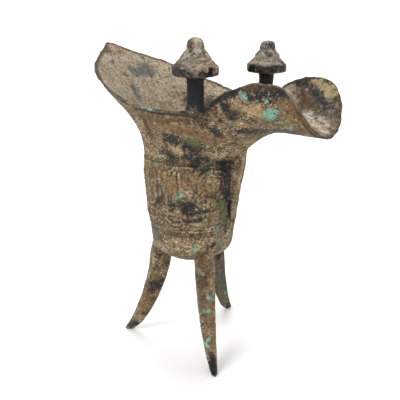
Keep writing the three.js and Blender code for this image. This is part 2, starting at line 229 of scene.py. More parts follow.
# ---------------------------------------------------------------- meshes


@dataclass
class Surface:
    """A closed surface in mm: its points, its four-sided faces and its three-sided faces."""

    points: Array
    quads: Array
    triangles: Array

    def volume(self) -> float:
        """Sum of the signed volumes of the tetrahedra from the origin to each triangle."""
        a, b, c, d = (self.points[self.quads[:, k]] for k in range(4))
        total = np.einsum("ij,ij->", a, np.cross(b, c)) + np.einsum("ij,ij->", a, np.cross(c, d))
        a, b, c = (self.points[self.triangles[:, k]] for k in range(3))
        return float(total + np.einsum("ij,ij->", a, np.cross(b, c))) / 6

    def outward(self) -> "Surface":
        """The same surface with its faces pointing outwards."""
        if self.volume() >= 0:
            return self
        return Surface(self.points, self.quads[:, ::-1], self.triangles[:, ::-1])

    def to_object(self, name: str) -> bpy.types.Object:
        """Makes the Blender object, in metres in the row frame.

        Args:
            name: name of the object and its mesh.

        Returns:
            The object, linked to the scene.
        """
        mesh = bpy.data.meshes.new(name)
        places = (self.points + AXIS_TO_ROW) * MILLIMETRE
        corners = np.concatenate([self.quads.ravel(), self.triangles.ravel()])
        sizes = np.r_[np.full(len(self.quads), 4), np.full(len(self.triangles), 3)]
        mesh.vertices.add(len(places))
        mesh.vertices.foreach_set("co", places.astype(np.float32).ravel())
        mesh.loops.add(len(corners))
        mesh.loops.foreach_set("vertex_index", corners.astype(np.int32))
        mesh.polygons.add(len(sizes))
        mesh.polygons.foreach_set("loop_start", (np.cumsum(sizes) - sizes).astype(np.int32))
        mesh.update(calc_edges=True)
        mesh.validate()
        made = bpy.data.objects.new(name, mesh)
        bpy.context.scene.collection.objects.link(made)
        return made


def lofted(rings: Array) -> Surface:
    """Skin over a stack of rings, each end closed by a fan to the ring's mean point.

    Args:
        rings: rows x columns x 3, each row a closed ring.

    Returns:
        The closed surface, facing outwards.
    """
    rows, columns = rings.shape[:2]
    ends = rings[[0, -1]].mean(axis=1)
    points = np.concatenate([rings.reshape(-1, 3), ends])
    index = np.arange(rows * columns).reshape(rows, columns)
    turned = np.roll(index, -1, axis=1)
    quads = np.stack([index[:-1], turned[:-1], turned[1:], index[1:]], axis=-1).reshape(-1, 4)
    low, high = np.full(columns, rows * columns), np.full(columns, rows * columns + 1)
    fans = [np.stack([low, turned[0], index[0]], -1), np.stack([high, index[-1], turned[-1]], -1)]
    return Surface(points, quads, np.concatenate(fans)).outward()


def rounded_ring(corners: Array, count: int, passes: int) -> Array:
    """Closed ring through corners with its corners worn round.

    The ring is cut evenly, and each pass replaces a point by a quarter of each neighbour and
    half of itself.

    Args:
        corners: stations x corners x 2, one polygon at each station.
        count: points wanted on each ring.
        passes: how many times it is worn.

    Returns:
        stations x count x 2.
    """
    closed = np.concatenate([corners, corners[:, :1]], axis=1).swapaxes(0, 1)
    ring = even_rows(closed, count + 1)[:-1]
    for _ in range(passes):
        ring = (np.roll(ring, 1, axis=0) + 2 * ring + np.roll(ring, -1, axis=0)) / 4
    return ring.swapaxes(0, 1)


def worn_section(corners: list, count: int, passes: int) -> Array:
    """Worn rings of a section given by its corners.

    Args:
        corners: pairs of columns, one pair for each corner and one value for each station.
        count: points wanted on each ring.
        passes: how many times it is worn.

    Returns:
        stations x count x 2.
    """
    return rounded_ring(np.stack([np.stack(pair, -1) for pair in corners], axis=1), count, passes)


def turned(radius: Array | float, angle: Array, z: Array) -> Array:
    """Points at a distance from the axis, at an angle in radians round it and at a height."""
    return np.stack(np.broadcast_arrays(radius * np.cos(angle), radius * np.sin(angle), z), -1)


def circle(count: int) -> Array:
    """Angles of evenly placed columns round a circle, as one row."""
    return np.linspace(0, 2 * np.pi, count, endpoint=False)[None]


# ---------------------------------------------------------------- the decor


@dataclass
class DecorBand:
    """Relief of the band round the body: animal masks on the flanges over a ground of threads."""

    radius: float = 29.3
    low: float = 91.9
    high: float = 131.6
    border_rise: float = 0.85
    border_fall: tuple = (0.05, 0.8)
    band_fall: tuple = (-0.4, 0.8)
    plain_rise: float = 0.3
    motif_rise: float = 0.7
    motif_fall: tuple = (0.5, 1.6)
    thread_rise: float = 0.42
    thread_fall: tuple = (0.17, 0.92)
    echo_gap: float = 2.75
    echo_clear: float = 1.2
    wear_share: float = 0.55
    wear_swing: float = 1.1
    wear_size: float = 7.0
    border_share: float = 0.75
    border_swing: float = 0.9
    border_size: float = 11.0
    eye_angle: float = 27.0
    eye_height: float = 121.0
    eye_long: float = 4.7
    eye_tall: float = 4.4
    eye_rise: float = 1.6
    socket_rise: float = 0.5
    socket_reach: float = 1.4
    socket_fall: tuple = (0.08, 0.3)
    wander: float = 0.9
    wander_size: float = 5.0
    noise_radius: float = 29.0
    divider_angle: float = 90.0
    divider_span: tuple = (95, 129)
    motifs: tuple = (
        ((11, 127), (18, 128.5), (29, 129), (39, 127), (44, 122), (43, 117.5)),
        ((14, 113), (22, 111.5), (33, 112.5), (39, 115.5)),
        ((12, 106), (24, 103.5), (38, 104), (47, 107.5), (50, 112.5)),
        ((14, 98), (28, 96.5), (44, 97), (56, 98.5), (59, 103), (54, 105)),
        ((52, 128), (52.5, 117), (56, 111.5), (61, 112), (63.5, 117), (64, 128)),
        ((70, 128), (70.5, 112), (74, 107), (79, 107), (82, 112), (82.5, 128)),
        ((66, 97), (75, 96.8), (82, 100), (79, 103.5), (72, 103)),
    )
    spirals: tuple = (
        (49, 122.4, 1), (36, 108.4, -1), (22, 100.2, 1), (36, 100.6, -1), (58, 122.0, 1),
        (58, 117.4, -1), (76, 122.6, 1), (76, 116.4, -1), (66, 104.6, 1), (48, 101.6, -1),
        (68, 110.6, 1), (10, 118.0, -1), (86, 104.0, 1), (9, 101.0, 1),
    )
    spiral_reach: float = 2.9
    spiral_turns: float = 2.5
    spiral_core: float = 0.12
    path_steps: int = 26

    def along(self, degrees: Array) -> Array:
        """Length along the band for an angle."""
        return degrees * math.pi / 180 * self.radius

    def spiral(self, centre: tuple, turn: int) -> Array:
        """A squared spiral thread: its radius grows evenly over two and a half turns, and the
        power mean of its cosine and sine squares it off.

        Args:
            centre: middle of the spiral, as [mm along the band, height].
            turn: 1 or -1, the way that it winds.

        Returns:
            Corners of the thread.
        """
        angle = np.linspace(0, 2 * np.pi * self.spiral_turns, 40)
        cosine, sine = np.cos(angle), np.sin(angle)
        square = (np.abs(cosine) ** 4 + np.abs(sine) ** 4) ** -0.25
        grown = self.spiral_core + (1 - self.spiral_core) * angle / angle[-1]
        reach = self.spiral_reach * grown * square
        return np.column_stack([centre[0] + turn * reach * cosine, centre[1] + reach * sine])

    def height(self, azimuth: Array, z: Array) -> Array:
        """Height of the relief over the turned body, in mm.

        Each line is a ridge: full height on the line, and a smooth step down at its edges. The
        highest of border, motif, eye and thread counts, and a slow noise wears it.

        Args:
            azimuth: angle about the axis in degrees, from -180 to 180.
            z: height in mm.

        Returns:
            The height, in the shape of `azimuth`.
        """
        along = self.along(np.minimum(np.abs(azimuth), 180 - np.abs(azimuth)))
        solid = turned(self.noise_radius, np.radians(azimuth), z)
        seeds = (Seed.WANDER_ALONG, Seed.WANDER_UP)
        wander = [lump_noise(solid, self.wander_size, seed, 2) for seed in seeds]
        place = np.stack([along, z], -1) + self.wander * np.stack(wander, -1)
        before, past = self.band_fall
        inside = smooth_step(z, self.low + before, self.low + past)
        inside = inside * smooth_step(-z, -self.high + before, -self.high + past)
        off_border = np.minimum(np.abs(z - self.low), np.abs(z - self.high))
        border = 1 - smooth_step(off_border, *self.border_fall)
        gap = np.full(z.shape, np.inf)
        for motif in self.motifs:
            corners = np.array(motif, float)
            corners[:, 0] = self.along(corners[:, 0])
            gap = np.minimum(gap, line_distance(place, rounded_path(corners, self.path_steps)))
        low, high = self.divider_span
        divider = np.abs(place[..., 0] - self.along(self.divider_angle))
        gap = np.minimum(gap, np.where((z > low) & (z < high), divider, np.inf))
        motif = 1 - smooth_step(gap, *self.motif_fall)
        thread_gap = np.full(z.shape, np.inf)
        for angle, height, turn in self.spirals:
            spiral = self.spiral((self.along(angle), height), turn)
            thread_gap = np.minimum(thread_gap, line_distance(place, spiral))
        echo = np.abs(gap - self.echo_gap)
        echo = np.where(thread_gap > self.echo_clear, echo, np.inf)
        thread_gap = np.minimum(thread_gap, echo)
        thread = 1 - smooth_step(thread_gap, *self.thread_fall)
        wear = self.wear_share + self.wear_swing * lump_noise(solid, self.wear_size, Seed.WEAR, 3)
        wear = np.clip(wear, 0.05, 1)
        worn = lump_noise(solid, self.border_size, Seed.BORDER, 2)
        border = border * np.clip(self.border_share + self.border_swing * worn, 0.25, 1)
        ground = self.plain_rise + self.thread_rise * thread * wear
        raised = np.maximum(ground, (self.plain_rise + self.motif_rise * wear) * motif)
        raised = np.maximum(raised, self.eye(along, z))
        return np.maximum(raised * inside, self.border_rise * border)

    def eye(self, along: Array, z: Array) -> Array:
        """The bulging eye: half an ellipsoid with a thin socket ring round it.

        Args:
            along: distance from the flange along the band, in mm.
            z: height in mm.

        Returns:
            Height of the eye over the body, 0 away from it.
        """
        u = (along - self.along(self.eye_angle)) / self.eye_long
        v = (z - self.eye_height) / self.eye_tall
        reach = np.hypot(u, v)
        bulge = self.eye_rise * np.sqrt(np.clip(1 - reach**2, 0, 1))
        ring = 1 - smooth_step(np.abs(reach - self.socket_reach), *self.socket_fall)
        socket = self.socket_rise * ring
        return np.maximum(bulge, socket)


# ---------------------------------------------------------------- the vessel


@dataclass
class Vessel:
    """The open cup with its spout and tail, as one shell with a rounded lip."""

    bowl_low: float = 65.5
    bowl_rise: float = 12.5
    bowl_radius: float = 26.0
    wall: float = 2.3
    shoulder: float = 135.0
    profile: tuple = (
        (78, 26.0), (90, 27.3), (100, 28.3), (110, 28.9), (122, 29.4), (136, 29.6), (145, 31.2),
        (152, 34.3), (160, 39.6), (165, 43.8), (170, 47.9), (175, 51.9), (180, 56.0), (185, 60.6),
        (190, 65.8), (193, 69.4), (195.5, 73.0), (199, 78.6),
    )
    spout_floor: float = 154.0
    spout_floor_start: float = 65.0
    spout_floor_drop: float = 0.0178
    spout_spring: float = 179.0
    spout_back: float = 12.0
    spout_widths: tuple = (
        (0, 25), (12, 27.5), (20, 32.5), (29, 37.2), (36, 34.4), (45, 30.3), (54, 28.2),
        (63.5, 27.2), (71, 25.9), (76, 25.2), (90, 24.8),
    )
    throat_taper: float = 0.45
    throat_end: float = 54.0
    throat_length: float = 28.0
    body_fillet: float = 0.05
    throat_fillet: float = 4.0
    throat_fillet_low: float = 131.0
    throat_fillet_rise: float = 14.0
    rim_side: tuple = (
        (-73, 195.5), (-61, 188.2), (-50, 183.2), (-38, 178.2), (-25, 172.9), (-10, 168.2),
        (5, 164.9), (18, 164.0), (29.3, 164.8), (36, 168.4), (45, 174.7), (54, 178.6),
        (63.5, 180.2), (71, 179.4), (76, 176.6), (79.5, 172.0), (82.2, 166.3), (84.6, 160.2),
        (86.3, 156.2), (87, 154.0),
    )
    ray_height: float = 170.0
    ray_rows: int = 90
    ray_from: float = 10.0
    ray_step: float = 1.3
    ray_steps: int = 90
    turn_share: float = 0.87
    widest: float = 60.0
    halvings: int = 34
    half_columns: int = 166
    mouth_rows: int = 54
    inner_mouth_rows: int = 34
    outer_bowl: tuple = (0.09, 12)
    inner_bowl: tuple = (0.2, 7)
    plain_heights: tuple = (78, 88.6, 1.5)
    decor_heights: tuple = (89.2, 134.5, 0.6)
    inner_heights: tuple = (78, 88, 98, 108, 118, 128)
    lip_swell: float = 0.4
    lip_angles: tuple = (25, 50, 75, 105, 130, 155)
    rim_share: float = 0.52
    thin_rows: int = 5
    decor: DecorBand = field(default_factory=DecorBand)

    @property
    def bowl_top(self) -> float:
        """Height where the bowl ends and the profile begins."""
        return self.bowl_low + self.bowl_rise

    def cup_radius(self, z: Array) -> Array:
        """Outer radius of the turned cup at a height: half an ellipse, then the profile."""
        fall = np.clip((self.bowl_top - z) / self.bowl_rise, 0, 1)
        low = self.bowl_radius * np.sqrt(1 - fall**2)
        return np.where(z < self.bowl_top, low, table_curve(np.array(self.profile, float), z))

    def spout_distance(self, points: Array) -> Array:
        """Rough distance to the spout, a channel whose section is a half ellipse below the spring
        line and two upright walls above it.

        Args:
            points: places in mm, last axis of three.

        Returns:
            (hypot(across, depth) - 1) times the smaller half size, below zero inside.
        """
        x, y, z = points[..., 0], points[..., 1], points[..., 2]
        drop = self.spout_floor_drop * np.clip(self.spout_floor_start - x, 0, None) ** 2
        floor = self.spout_floor - drop
        depth = np.clip((self.spout_spring - z) / (self.spout_spring - floor), 0, None)
        taper = self.throat_taper * smooth_step(self.throat_end - x, 0, self.throat_length)
        half = table_curve(np.array(self.spout_widths, float), x)
        half = half * np.clip(1 - taper * depth**2, 0.3, 1)
        size = np.minimum(half, self.spout_spring - floor)
        return np.maximum((np.hypot(np.abs(y) / half, depth) - 1) * size, self.spout_back - x)

    def distance(self, points: Array) -> Array:
        """Rough distance to the outside of the vessel, below zero inside it.

        Below the bowl's top it is the distance to the ellipsoid, |q| - 1 over the length of its
        gradient. Above, it is (r - cup radius) over the slope's length, joined to the spout by a
        smooth minimum whose fillet grows above the shoulder.

        Args:
            points: places in mm, last axis of three.

        Returns:
            One distance for each point.
        """
        x, y, z = points[..., 0], points[..., 1], points[..., 2]
        out = np.hypot(x, y)
        flare = np.where(z > self.shoulder, self.cup_radius(z + 0.5) - self.cup_radius(z - 0.5), 0)
        turned = (out - self.cup_radius(z)) / np.hypot(1, flare)
        spout = self.spout_distance(points)
        above = z - self.throat_fillet_low
        blend = smooth_step(above, 0, self.throat_fillet_rise)
        fillet = self.body_fillet + self.throat_fillet * blend
        share = np.clip(0.5 + 0.5 * (spout - turned) / fillet, 0, 1)
        upper = spout + (turned - spout) * share - fillet * share * (1 - share)
        radial, upright = out / self.bowl_radius, (z - self.bowl_top) / self.bowl_rise
        size = np.maximum(np.hypot(radial, upright), 1e-6)
        slope = np.hypot(radial / self.bowl_radius, upright / self.bowl_rise) / size
        return np.where(z < self.bowl_top, (size - 1) / np.maximum(slope, 1e-6), upper)

    def steepest(self, points: Array) -> Array:
        """Unit vectors along which the distance grows fastest, by central differences."""
        steps = np.eye(3) * 0.2
        slopes = [self.distance(points + s) - self.distance(points - s) for s in steps]
        slopes = np.stack(slopes, axis=-1)
        return slopes / np.maximum(np.linalg.norm(slopes, axis=-1, keepdims=True), 1e-9)

    def kept_out(self, points: Array, depth: float = 1.2) -> Array:
        """Moves the points that lie deeper than `depth` under the outside back to that depth, so
        that what is cast on the wall never comes through it."""
        for _ in range(4):
            short = np.clip(-depth - self.distance(points), 0, None)
            points = points + self.steepest(points) * short[..., None]
        return points

    def found_wall(
        self, reach_at: Callable[[Array], Array], inside: Array, outside: Array
    ) -> Array:
        """Halves the span between a place inside and one outside until the wall is found.

        Args:
            reach_at: function from a parameter to the distance there.
            inside: parameters inside the vessel.
            outside: parameters outside it.

        Returns:
            The parameters at the wall.
        """
        low, high = inside, outside
        for _ in range(self.halvings):
            middle = (low + high) / 2
            within = reach_at(middle) <= 0
            low, high = np.where(within, middle, low), np.where(within, high, middle)
        return (low + high) / 2

    def half_rim(self) -> Array:
        """Half of the rim from the tail's tip to the lip: the side view gives x and z, and y is
        where the wall is found.

        Returns:
            (half_columns + 1) x 3, evenly placed.
        """
        share = (1 - np.cos(np.linspace(0, np.pi, 401))) / 2
        side = np.array(self.rim_side, float)
        walked = walked_length(side)
        x, z = (table_curve(np.column_stack([walked, c]), share * walked[-1]) for c in side.T)
        y = self.found_wall(
            lambda at: self.distance(np.stack([x, at, z], -1)),
            np.zeros_like(x), np.full_like(x, self.widest),
        )
        y[[0, -1]] = 0
        return even_rows(np.stack([x, y, z], -1)[:, None], self.half_columns + 1)[:, 0]

    def mouth(self, rim: Array) -> Array:
        """Dense rows of the outside from the shoulder to the rim.

        Rays from a point on the axis sweep from one to the other, and turn from an even azimuth
        to the rim's own by a smooth step. Each marches out until the distance turns positive.

        Args:
            rim: columns x 3.

        Returns:
            (ray_rows + 1) x columns x 3.
        """
        origin = np.array([0, 0, self.ray_height])
        spread = np.pi * (1 - np.arange(len(rim)) / (len(rim) - 1))
        rim_azimuth = np.arctan2(rim[:, 1], rim[:, 0])
        shoulder_radius = float(self.cup_radius(np.array(self.shoulder)))
        low = math.atan2(self.shoulder - self.ray_height, shoulder_radius)
        high = np.arctan2(rim[:, 2] - self.ray_height, np.hypot(rim[:, 0], rim[:, 1]))
        share = (np.arange(self.ray_rows) / self.ray_rows)[:, None]
        tilt = low + (high - low) * share
        azimuth = spread + (rim_azimuth - spread) * smooth_step(share, 0, self.turn_share)
        ray = turned(np.cos(tilt), azimuth, np.sin(tilt))
        reach = np.full(tilt.shape, self.ray_from)
        marching = np.ones(tilt.shape, bool)
        for _ in range(self.ray_steps):
            ahead = reach + self.ray_step
            marching &= self.distance(origin + ray * ahead[..., None]) <= 0
            reach = np.where(marching, ahead, reach)
        wall = self.found_wall(
            lambda at: self.distance(origin + ray * at[..., None]), reach, reach + self.ray_step
        )
        return np.concatenate([origin + ray * wall[..., None], rim[None]])

    def low_rows(self, heights: Array, columns: int, with_decor: bool) -> Array:
        """Rows of the turned part below the shoulder: the radius at each height, plus the relief
        of the decor.

        Args:
            heights: heights of the rows.
            columns: points on half of a row, from the tail's side to the spout's.
            with_decor: whether the relief is added.

        Returns:
            rows x columns x 3.
        """
        azimuth = 180 * (1 - np.arange(columns) / (columns - 1))
        azimuth = np.broadcast_to(azimuth, (len(heights), columns))
        z = np.broadcast_to(heights[:, None], azimuth.shape)
        radius = self.cup_radius(z)
        if with_decor:
            radius = radius + self.decor.height(azimuth, z)
        return turned(radius, np.radians(azimuth), z)

    def whole(self, half: Array) -> Array:
        """Closes half rows to whole ones by mirroring them across the plane y = 0."""
        mirrored = half[:, -2:0:-1] * np.array([1, -1, 1])
        return np.concatenate([half, mirrored], axis=1)

    def offset(self, rows: Array) -> Array:
        """Moves a grid in by the wall, along the cross product of its row and column steps. The
        wall thins over the last rows before the rim."""
        up = np.gradient(rows, axis=0)
        around = np.roll(rows, -1, axis=1) - np.roll(rows, 1, axis=1)
        normal = np.cross(up, around)
        normal /= np.linalg.norm(normal, axis=-1, keepdims=True)
        away = np.sign(np.sum(normal * (rows - np.array([0, 0, self.ray_height])), axis=-1)[0, 0])
        to_rim = len(rows) - 1 - np.arange(len(rows))[:, None, None]
        full = smooth_step(to_rim, 0, self.thin_rows)
        wall = self.wall * (self.rim_share + (1 - self.rim_share) * full)
        return rows - normal * away * wall

    def bowl(self, start: float, rows: int) -> Array:
        """Heights of the rows of the round bottom, from an angle off its lowest point up."""
        fall = np.cos(np.linspace(start, np.pi / 2, rows))
        return (self.bowl_low + self.bowl_rise * (1 - fall))[:-1]

    def surface(self) -> Surface:
        """The shell: rows up the outside, round the lip and down the inside.

        The lip is half an ellipse across the wall: its middle plus the outward half thickness
        times the cosine, plus the upward direction times the sine.

        Returns:
            The closed surface.
        """
        rim = self.half_rim()
        mouth = self.mouth(rim)
        body = np.concatenate([
            self.bowl(*self.outer_bowl), np.arange(*self.plain_heights),
            np.arange(*self.decor_heights),
        ])
        inner_body = np.concatenate([self.bowl(*self.inner_bowl), self.inner_heights])
        outer, inner = (
            np.concatenate([self.low_rows(low, len(rim), with_decor), even_rows(mouth, rows)])
            for low, with_decor, rows in (
                (body, True, self.mouth_rows), (inner_body, False, self.inner_mouth_rows),
            )
        )
        outer, inner = self.whole(outer), self.offset(self.whole(inner))
        middle, half = (outer[-1] + inner[-1]) / 2, (outer[-1] - inner[-1]) / 2
        up = outer[-1] - outer[-2]
        thickness, step = (np.linalg.norm(v, axis=-1, keepdims=True) for v in (half, up))
        up *= thickness / step
        angle = np.radians(self.lip_angles)[:, None, None]
        lip = middle + half * np.cos(angle) + up * self.lip_swell * np.sin(angle)
        return lofted(np.concatenate([outer, lip, inner[::-1]]))


# ---------------------------------------------------------------- what is cast on the vessel


@dataclass
class Leg:
    """One blade-like leg with an outer ridge, a bevel on each side and a blunt inner edge."""

    azimuth: float
    foot_shift: float = 0.0
    shift: float = 0.0
    wide: float = 1.0
    stations: tuple = (
        (0, 50.6, 44.1, 1.6), (5, 47.4, 38.4, 2.6), (13, 43.4, 32.6, 3.6), (23, 39.4, 27.1, 4.4),
        (34, 35.5, 22.4, 5.2), (44, 32.8, 18.7, 5.7), (54, 30.7, 16.0, 6.1), (66, 29.0, 14.2, 6.4),
        (78, 26.4, 13.5, 6.4),
    )
    top: float = 76.0
    splay_top: float = 66.0
    splay_power: float = 1.5
    bevel_share: float = 0.3
    inner_flat: float = 0.35
    rows: int = 72
    columns: int = 44
    worn_passes: int = 3
    foot_span: tuple = (-0.6, 0.9)
    foot_draw: float = 0.42

    def surface(self, vessel: Vessel) -> Surface:
        """Rings of a five-cornered section up the leg.

        The ridge and the inner edge are table curves of the height, moved out towards the foot by
        a share (1 - z / splay top) to the splay power. The foot is rounded by drawing in its
        lowest rings, and the top is kept out of the bowl.

        Args:
            vessel: the vessel that it is cast on.

        Returns:
            The closed surface.
        """
        z = np.r_[0, 0.25, 0.7, np.linspace(1.4, self.top, self.rows - 3)]
        table = np.array(self.stations, float)
        outer, inner, half = (table_curve(table[:, [0, k]], z) for k in (1, 2, 3))
        half = half * self.wide
        splay = np.clip(1 - z / self.splay_top, 0, None) ** self.splay_power
        splay = self.foot_shift * splay + self.shift
        outer, inner = outer + splay, inner + splay
        edge = outer + (inner - outer) * self.bevel_share
        flat = half * self.inner_flat
        ring = worn_section(
            [(outer, 0 * half), (edge, half), (inner, flat), (inner, -flat), (edge, -half)],
            self.columns, self.worn_passes,
        )
        middle = ring.mean(axis=1, keepdims=True)
        draw = 1 - self.foot_draw * (1 - smooth_step(z, *self.foot_span))
        ring = middle + (ring - middle) * draw[:, None, None]
        cosine, sine = math.cos(math.radians(self.azimuth)), math.sin(math.radians(self.azimuth))
        level = ring @ np.array([[cosine, sine], [-sine, cosine]])
        upright = np.broadcast_to(z[:, None, None], (*ring.shape[:2], 1))
        return lofted(vessel.kept_out(np.concatenate([level, upright], -1)))


@dataclass
class Post:
    """A post on the rim: a foot, a squarish stem and a bell-shaped cap with a broken brim."""

    side: int
    notch_azimuth: float
    drop: float = 0.0
    x: float = 29.3
    y: float = 33.0
    rim_height: float = 164.6
    root_lean: float = 0.55
    foot: tuple = ((0.4, 158), (1.6, 158), (4.3, 163.6), (5.0, 165.2), (4.9, 166.6), (4.35, 167.8))
    stem_middle: tuple = (4.25, 172.0)
    cap: tuple = (
        (4.3, 180.8), (4.8, 181.5), (10.5, 182.4), (11.3, 182.9), (11.55, 183.6), (11.6, 186.6),
        (11.4, 187.0), (9.3, 188.8), (7.6, 190.6), (6.1, 192.7), (5.0, 194.4), (4.5, 195.0),
        (4.3, 196.2), (3.9, 197.6), (3.4, 199.0), (2.1, 199.8), (0.5, 200.0),
    )
    stem_square: float = 3.2
    stem_turn: float = 0.7
    stem_share: float = 0.96
    stem_spans: tuple = ((165.5, 168.5), (180.0, 181.8))
    skirt_spans: tuple = ((187.4, 188.6), (193.0, 194.6))
    neck_height: float = 194.9
    neck_depth: float = 0.3
    neck_fall: tuple = (0.2, 0.8)
    whorl_rise: float = 0.8
    whorl_count: int = 4
    whorl_wind: float = 0.62
    whorl_gap: float = -0.35
    whorl_fall: tuple = (-0.1, 0.7)
    columns: int = 64
    rows: int = 96
    notch_radius: float = 3.5
    notch_uneven: float = 0.3
    notch_pole: float = 0.15
    notch_rows: int = 14
    notch_columns: int = 22
    notch_reach: float = 11.6
    notch_height: float = 183.4

    def surface(self, vessel: Vessel) -> Surface:
        """Rings of the turned profile, whose stem is squared off by a power mean and whose skirt
        carries winding threads: rise times a ridge of cos(count x (azimuth + wind x radius)).

        Args:
            vessel: the vessel that it is cast on.

        Returns:
            The closed surface.
        """
        drop = self.drop
        foot = np.array([*self.foot, self.stem_middle], float)
        path = np.concatenate([foot, np.array(self.cap, float) - np.array([0, drop])])
        walked = walked_length(path)
        at = np.linspace(0, walked[-1], self.rows)
        radius, z = (np.interp(at, walked, column)[:, None] for column in path.T)
        for line in (radius, z):
            line[1:-1] = (line[:-2] + 4 * line[1:-1] + line[2:]) / 6
        angle = circle(self.columns)
        power = self.stem_square
        cosine, sine = (np.abs(f(angle - self.stem_turn)) for f in (np.cos, np.sin))
        square = (cosine**power + sine**power) ** (-1 / power)
        low, high = self.stem_spans
        is_stem = smooth_step(z, *low) * (1 - smooth_step(z + drop, *high))
        radius = radius * (1 + (square * self.stem_share - 1) * is_stem)
        low, high = self.skirt_spans
        skirt = smooth_step(z + drop, *low) * (1 - smooth_step(z + drop, *high))
        turns = self.whorl_count * (angle + self.whorl_wind * radius)
        threads = smooth_step(np.cos(3 * turns), *self.whorl_fall)
        threads = np.where(np.cos(turns) > self.whorl_gap, threads, 0)
        neck = 1 - smooth_step(np.abs(z - (self.neck_height - drop)), *self.neck_fall)
        radius = radius + self.whorl_rise * (threads - 0.5) * skirt - self.neck_depth * neck
        lean = np.clip(self.rim_height - z, 0, None) * self.root_lean
        scale = 1 - lean / math.hypot(self.x, self.y)
        middle = np.array([self.x, self.side * self.y, 0])
        rings = turned(radius, angle, z) + scale[..., None] * middle
        low = rings[..., 2] < self.rim_height
        return lofted(np.where(low[..., None], vessel.kept_out(rings), rings))

    def notch(self) -> Surface:
        """The piece broken out of the brim: a ball whose radius varies with a coarse noise."""
        pole = np.pi / 2 - self.notch_pole
        tilt = np.linspace(-pole, pole, self.notch_rows)[:, None]
        angle = circle(self.notch_columns)
        ray = turned(np.cos(tilt), angle, np.sin(tilt))
        azimuth = math.radians(self.notch_azimuth)
        centre = np.array([
            self.x + self.notch_reach * math.cos(azimuth),
            self.side * self.y + self.notch_reach * math.sin(azimuth),
            self.notch_height - self.drop,
        ])
        uneven = self.notch_uneven * lump_noise(ray * 2 + centre, 0.9, Seed.NOTCH)
        return lofted(centre + ray * (self.notch_radius * (1 + uneven))[..., None])


@dataclass
class Flange:
    """An upright plate on the body, under the spout or under the tail."""

    side: int
    edge: tuple
    half_thickness: float = 2.2
    seat_depth: float = 1.2
    rows: int = 64
    columns: int = 36
    groove_depth: float = 0.35
    groove_place: float = 0.62
    groove_fall: tuple = (0.05, 0.16)
    groove_face: tuple = (0.8, 1.6)
    edge_share: float = 0.86
    foot_fade: float = 3.2
    foot_span: tuple = (-3, 1.5)
    least_width: float = 0.8
    chip: float = 0.3
    chip_size: float = 5.0
    worn_passes: int = 2

    def surface(self, vessel: Vessel) -> Surface:
        """Rings of a rounded rectangle from the wall out to the edge, one at each height.

        Args:
            vessel: the vessel that it is cast on.

        Returns:
            The closed surface.
        """
        table = np.array(self.edge, float)[::-1, ::-1]
        low = table[0, 0]
        z = np.linspace(low + self.foot_span[0], table[-1, 0], self.rows)
        out = table_curve(table, z) - self.foot_fade * (1 - smooth_step(z - low, *self.foot_span))
        seat = vessel.cup_radius(np.minimum(z, vessel.shoulder)) - self.seat_depth
        out = np.maximum(out, seat + self.least_width)
        place = np.column_stack([out, 0 * z, z])
        out = out + self.chip * lump_noise(place, self.chip_size, Seed.FLANGE + self.side)
        half = np.full_like(z, self.half_thickness)
        edge = half * self.edge_share
        ring = worn_section(
            [(seat, -half), (out, -edge), (out, edge), (seat, half)], self.columns, self.worn_passes
        )
        share = (ring[..., 0] - seat[:, None]) / np.maximum(out - seat, 0.5)[:, None]
        across = ring[..., 1]
        groove = 1 - smooth_step(np.abs(share - self.groove_place), *self.groove_fall)
        groove = groove * np.sign(across) * smooth_step(np.abs(across), *self.groove_face)
        across = across - self.groove_depth * groove
        upright = np.broadcast_to(z[:, None], across.shape)
        rings = np.stack([self.side * ring[..., 0], across, upright], -1)
        return lofted(vessel.kept_out(rings))


@dataclass
class Handle:
    """The strap handle on +Y."""

    path: tuple = (
        (27.8, 131), (34, 132.4), (40.5, 130.5), (43.6, 124), (44.2, 114), (42.6, 104.5),
        (37, 98.4), (27.4, 96.8),
    )
    half_width: float = 4.5
    half_thickness: float = 1.6
    end_widening: float = 0.28
    end_length: float = 0.12
    ridge_share: float = 1.25
    rows: int = 70
    columns: int = 32
    worn_passes: int = 2

    def surface(self, vessel: Vessel) -> Surface:
        """Rings of a worn rectangle carried along the path, square to it, widening at both ends
        and with a low ridge along its back.

        Args:
            vessel: the vessel that it is cast on.

        Returns:
            The closed surface.
        """
        path = rounded_path(np.array(self.path, float), self.rows)
        along = np.gradient(path, axis=0)
        along /= np.linalg.norm(along, axis=1, keepdims=True)
        share = np.linspace(0, 1, self.rows)
        end = np.minimum(share, 1 - share)
        widening = self.end_widening * (1 - smooth_step(end, 0, self.end_length))
        wide = self.half_width * (1 + widening)
        thick = np.full(self.rows, self.half_thickness)
        ridge = thick * self.ridge_share
        ring = worn_section(
            [(-thick, -wide), (thick, -wide), (ridge, 0 * wide), (thick, wide), (-thick, wide)],
            self.columns, self.worn_passes,
        )
        outward = np.column_stack([-along[:, 1], along[:, 0]])
        outward *= np.sign(outward[self.rows // 2, 0])
        level = path[:, None] + ring[..., :1] * outward[:, None]
        rings = np.concatenate([ring[..., 1:], level], -1)
        return lofted(vessel.kept_out(rings))


# ---------------------------------------------------------------- the patina's places


class Patina(Enum):
    """Kinds of growth and wear on old bronze that lie in patches. The soot kind also lays painted
    shade round the bottom of the bowl.
    """

    SOOT_AND_SHADE = "soot_and_shade"
    PITCH = "pitch"
    SMOKE = "smoke"
    MALACHITE = "malachite"
    VERDIGRIS = "verdigris"
    OCHRE = "ochre"
    RUST = "rust"
    SAND = "sand"
    ASH = "ash"
    WORN = "worn"
    RUBBED = "rubbed"
    UMBER = "umber"
    AMBER = "amber"


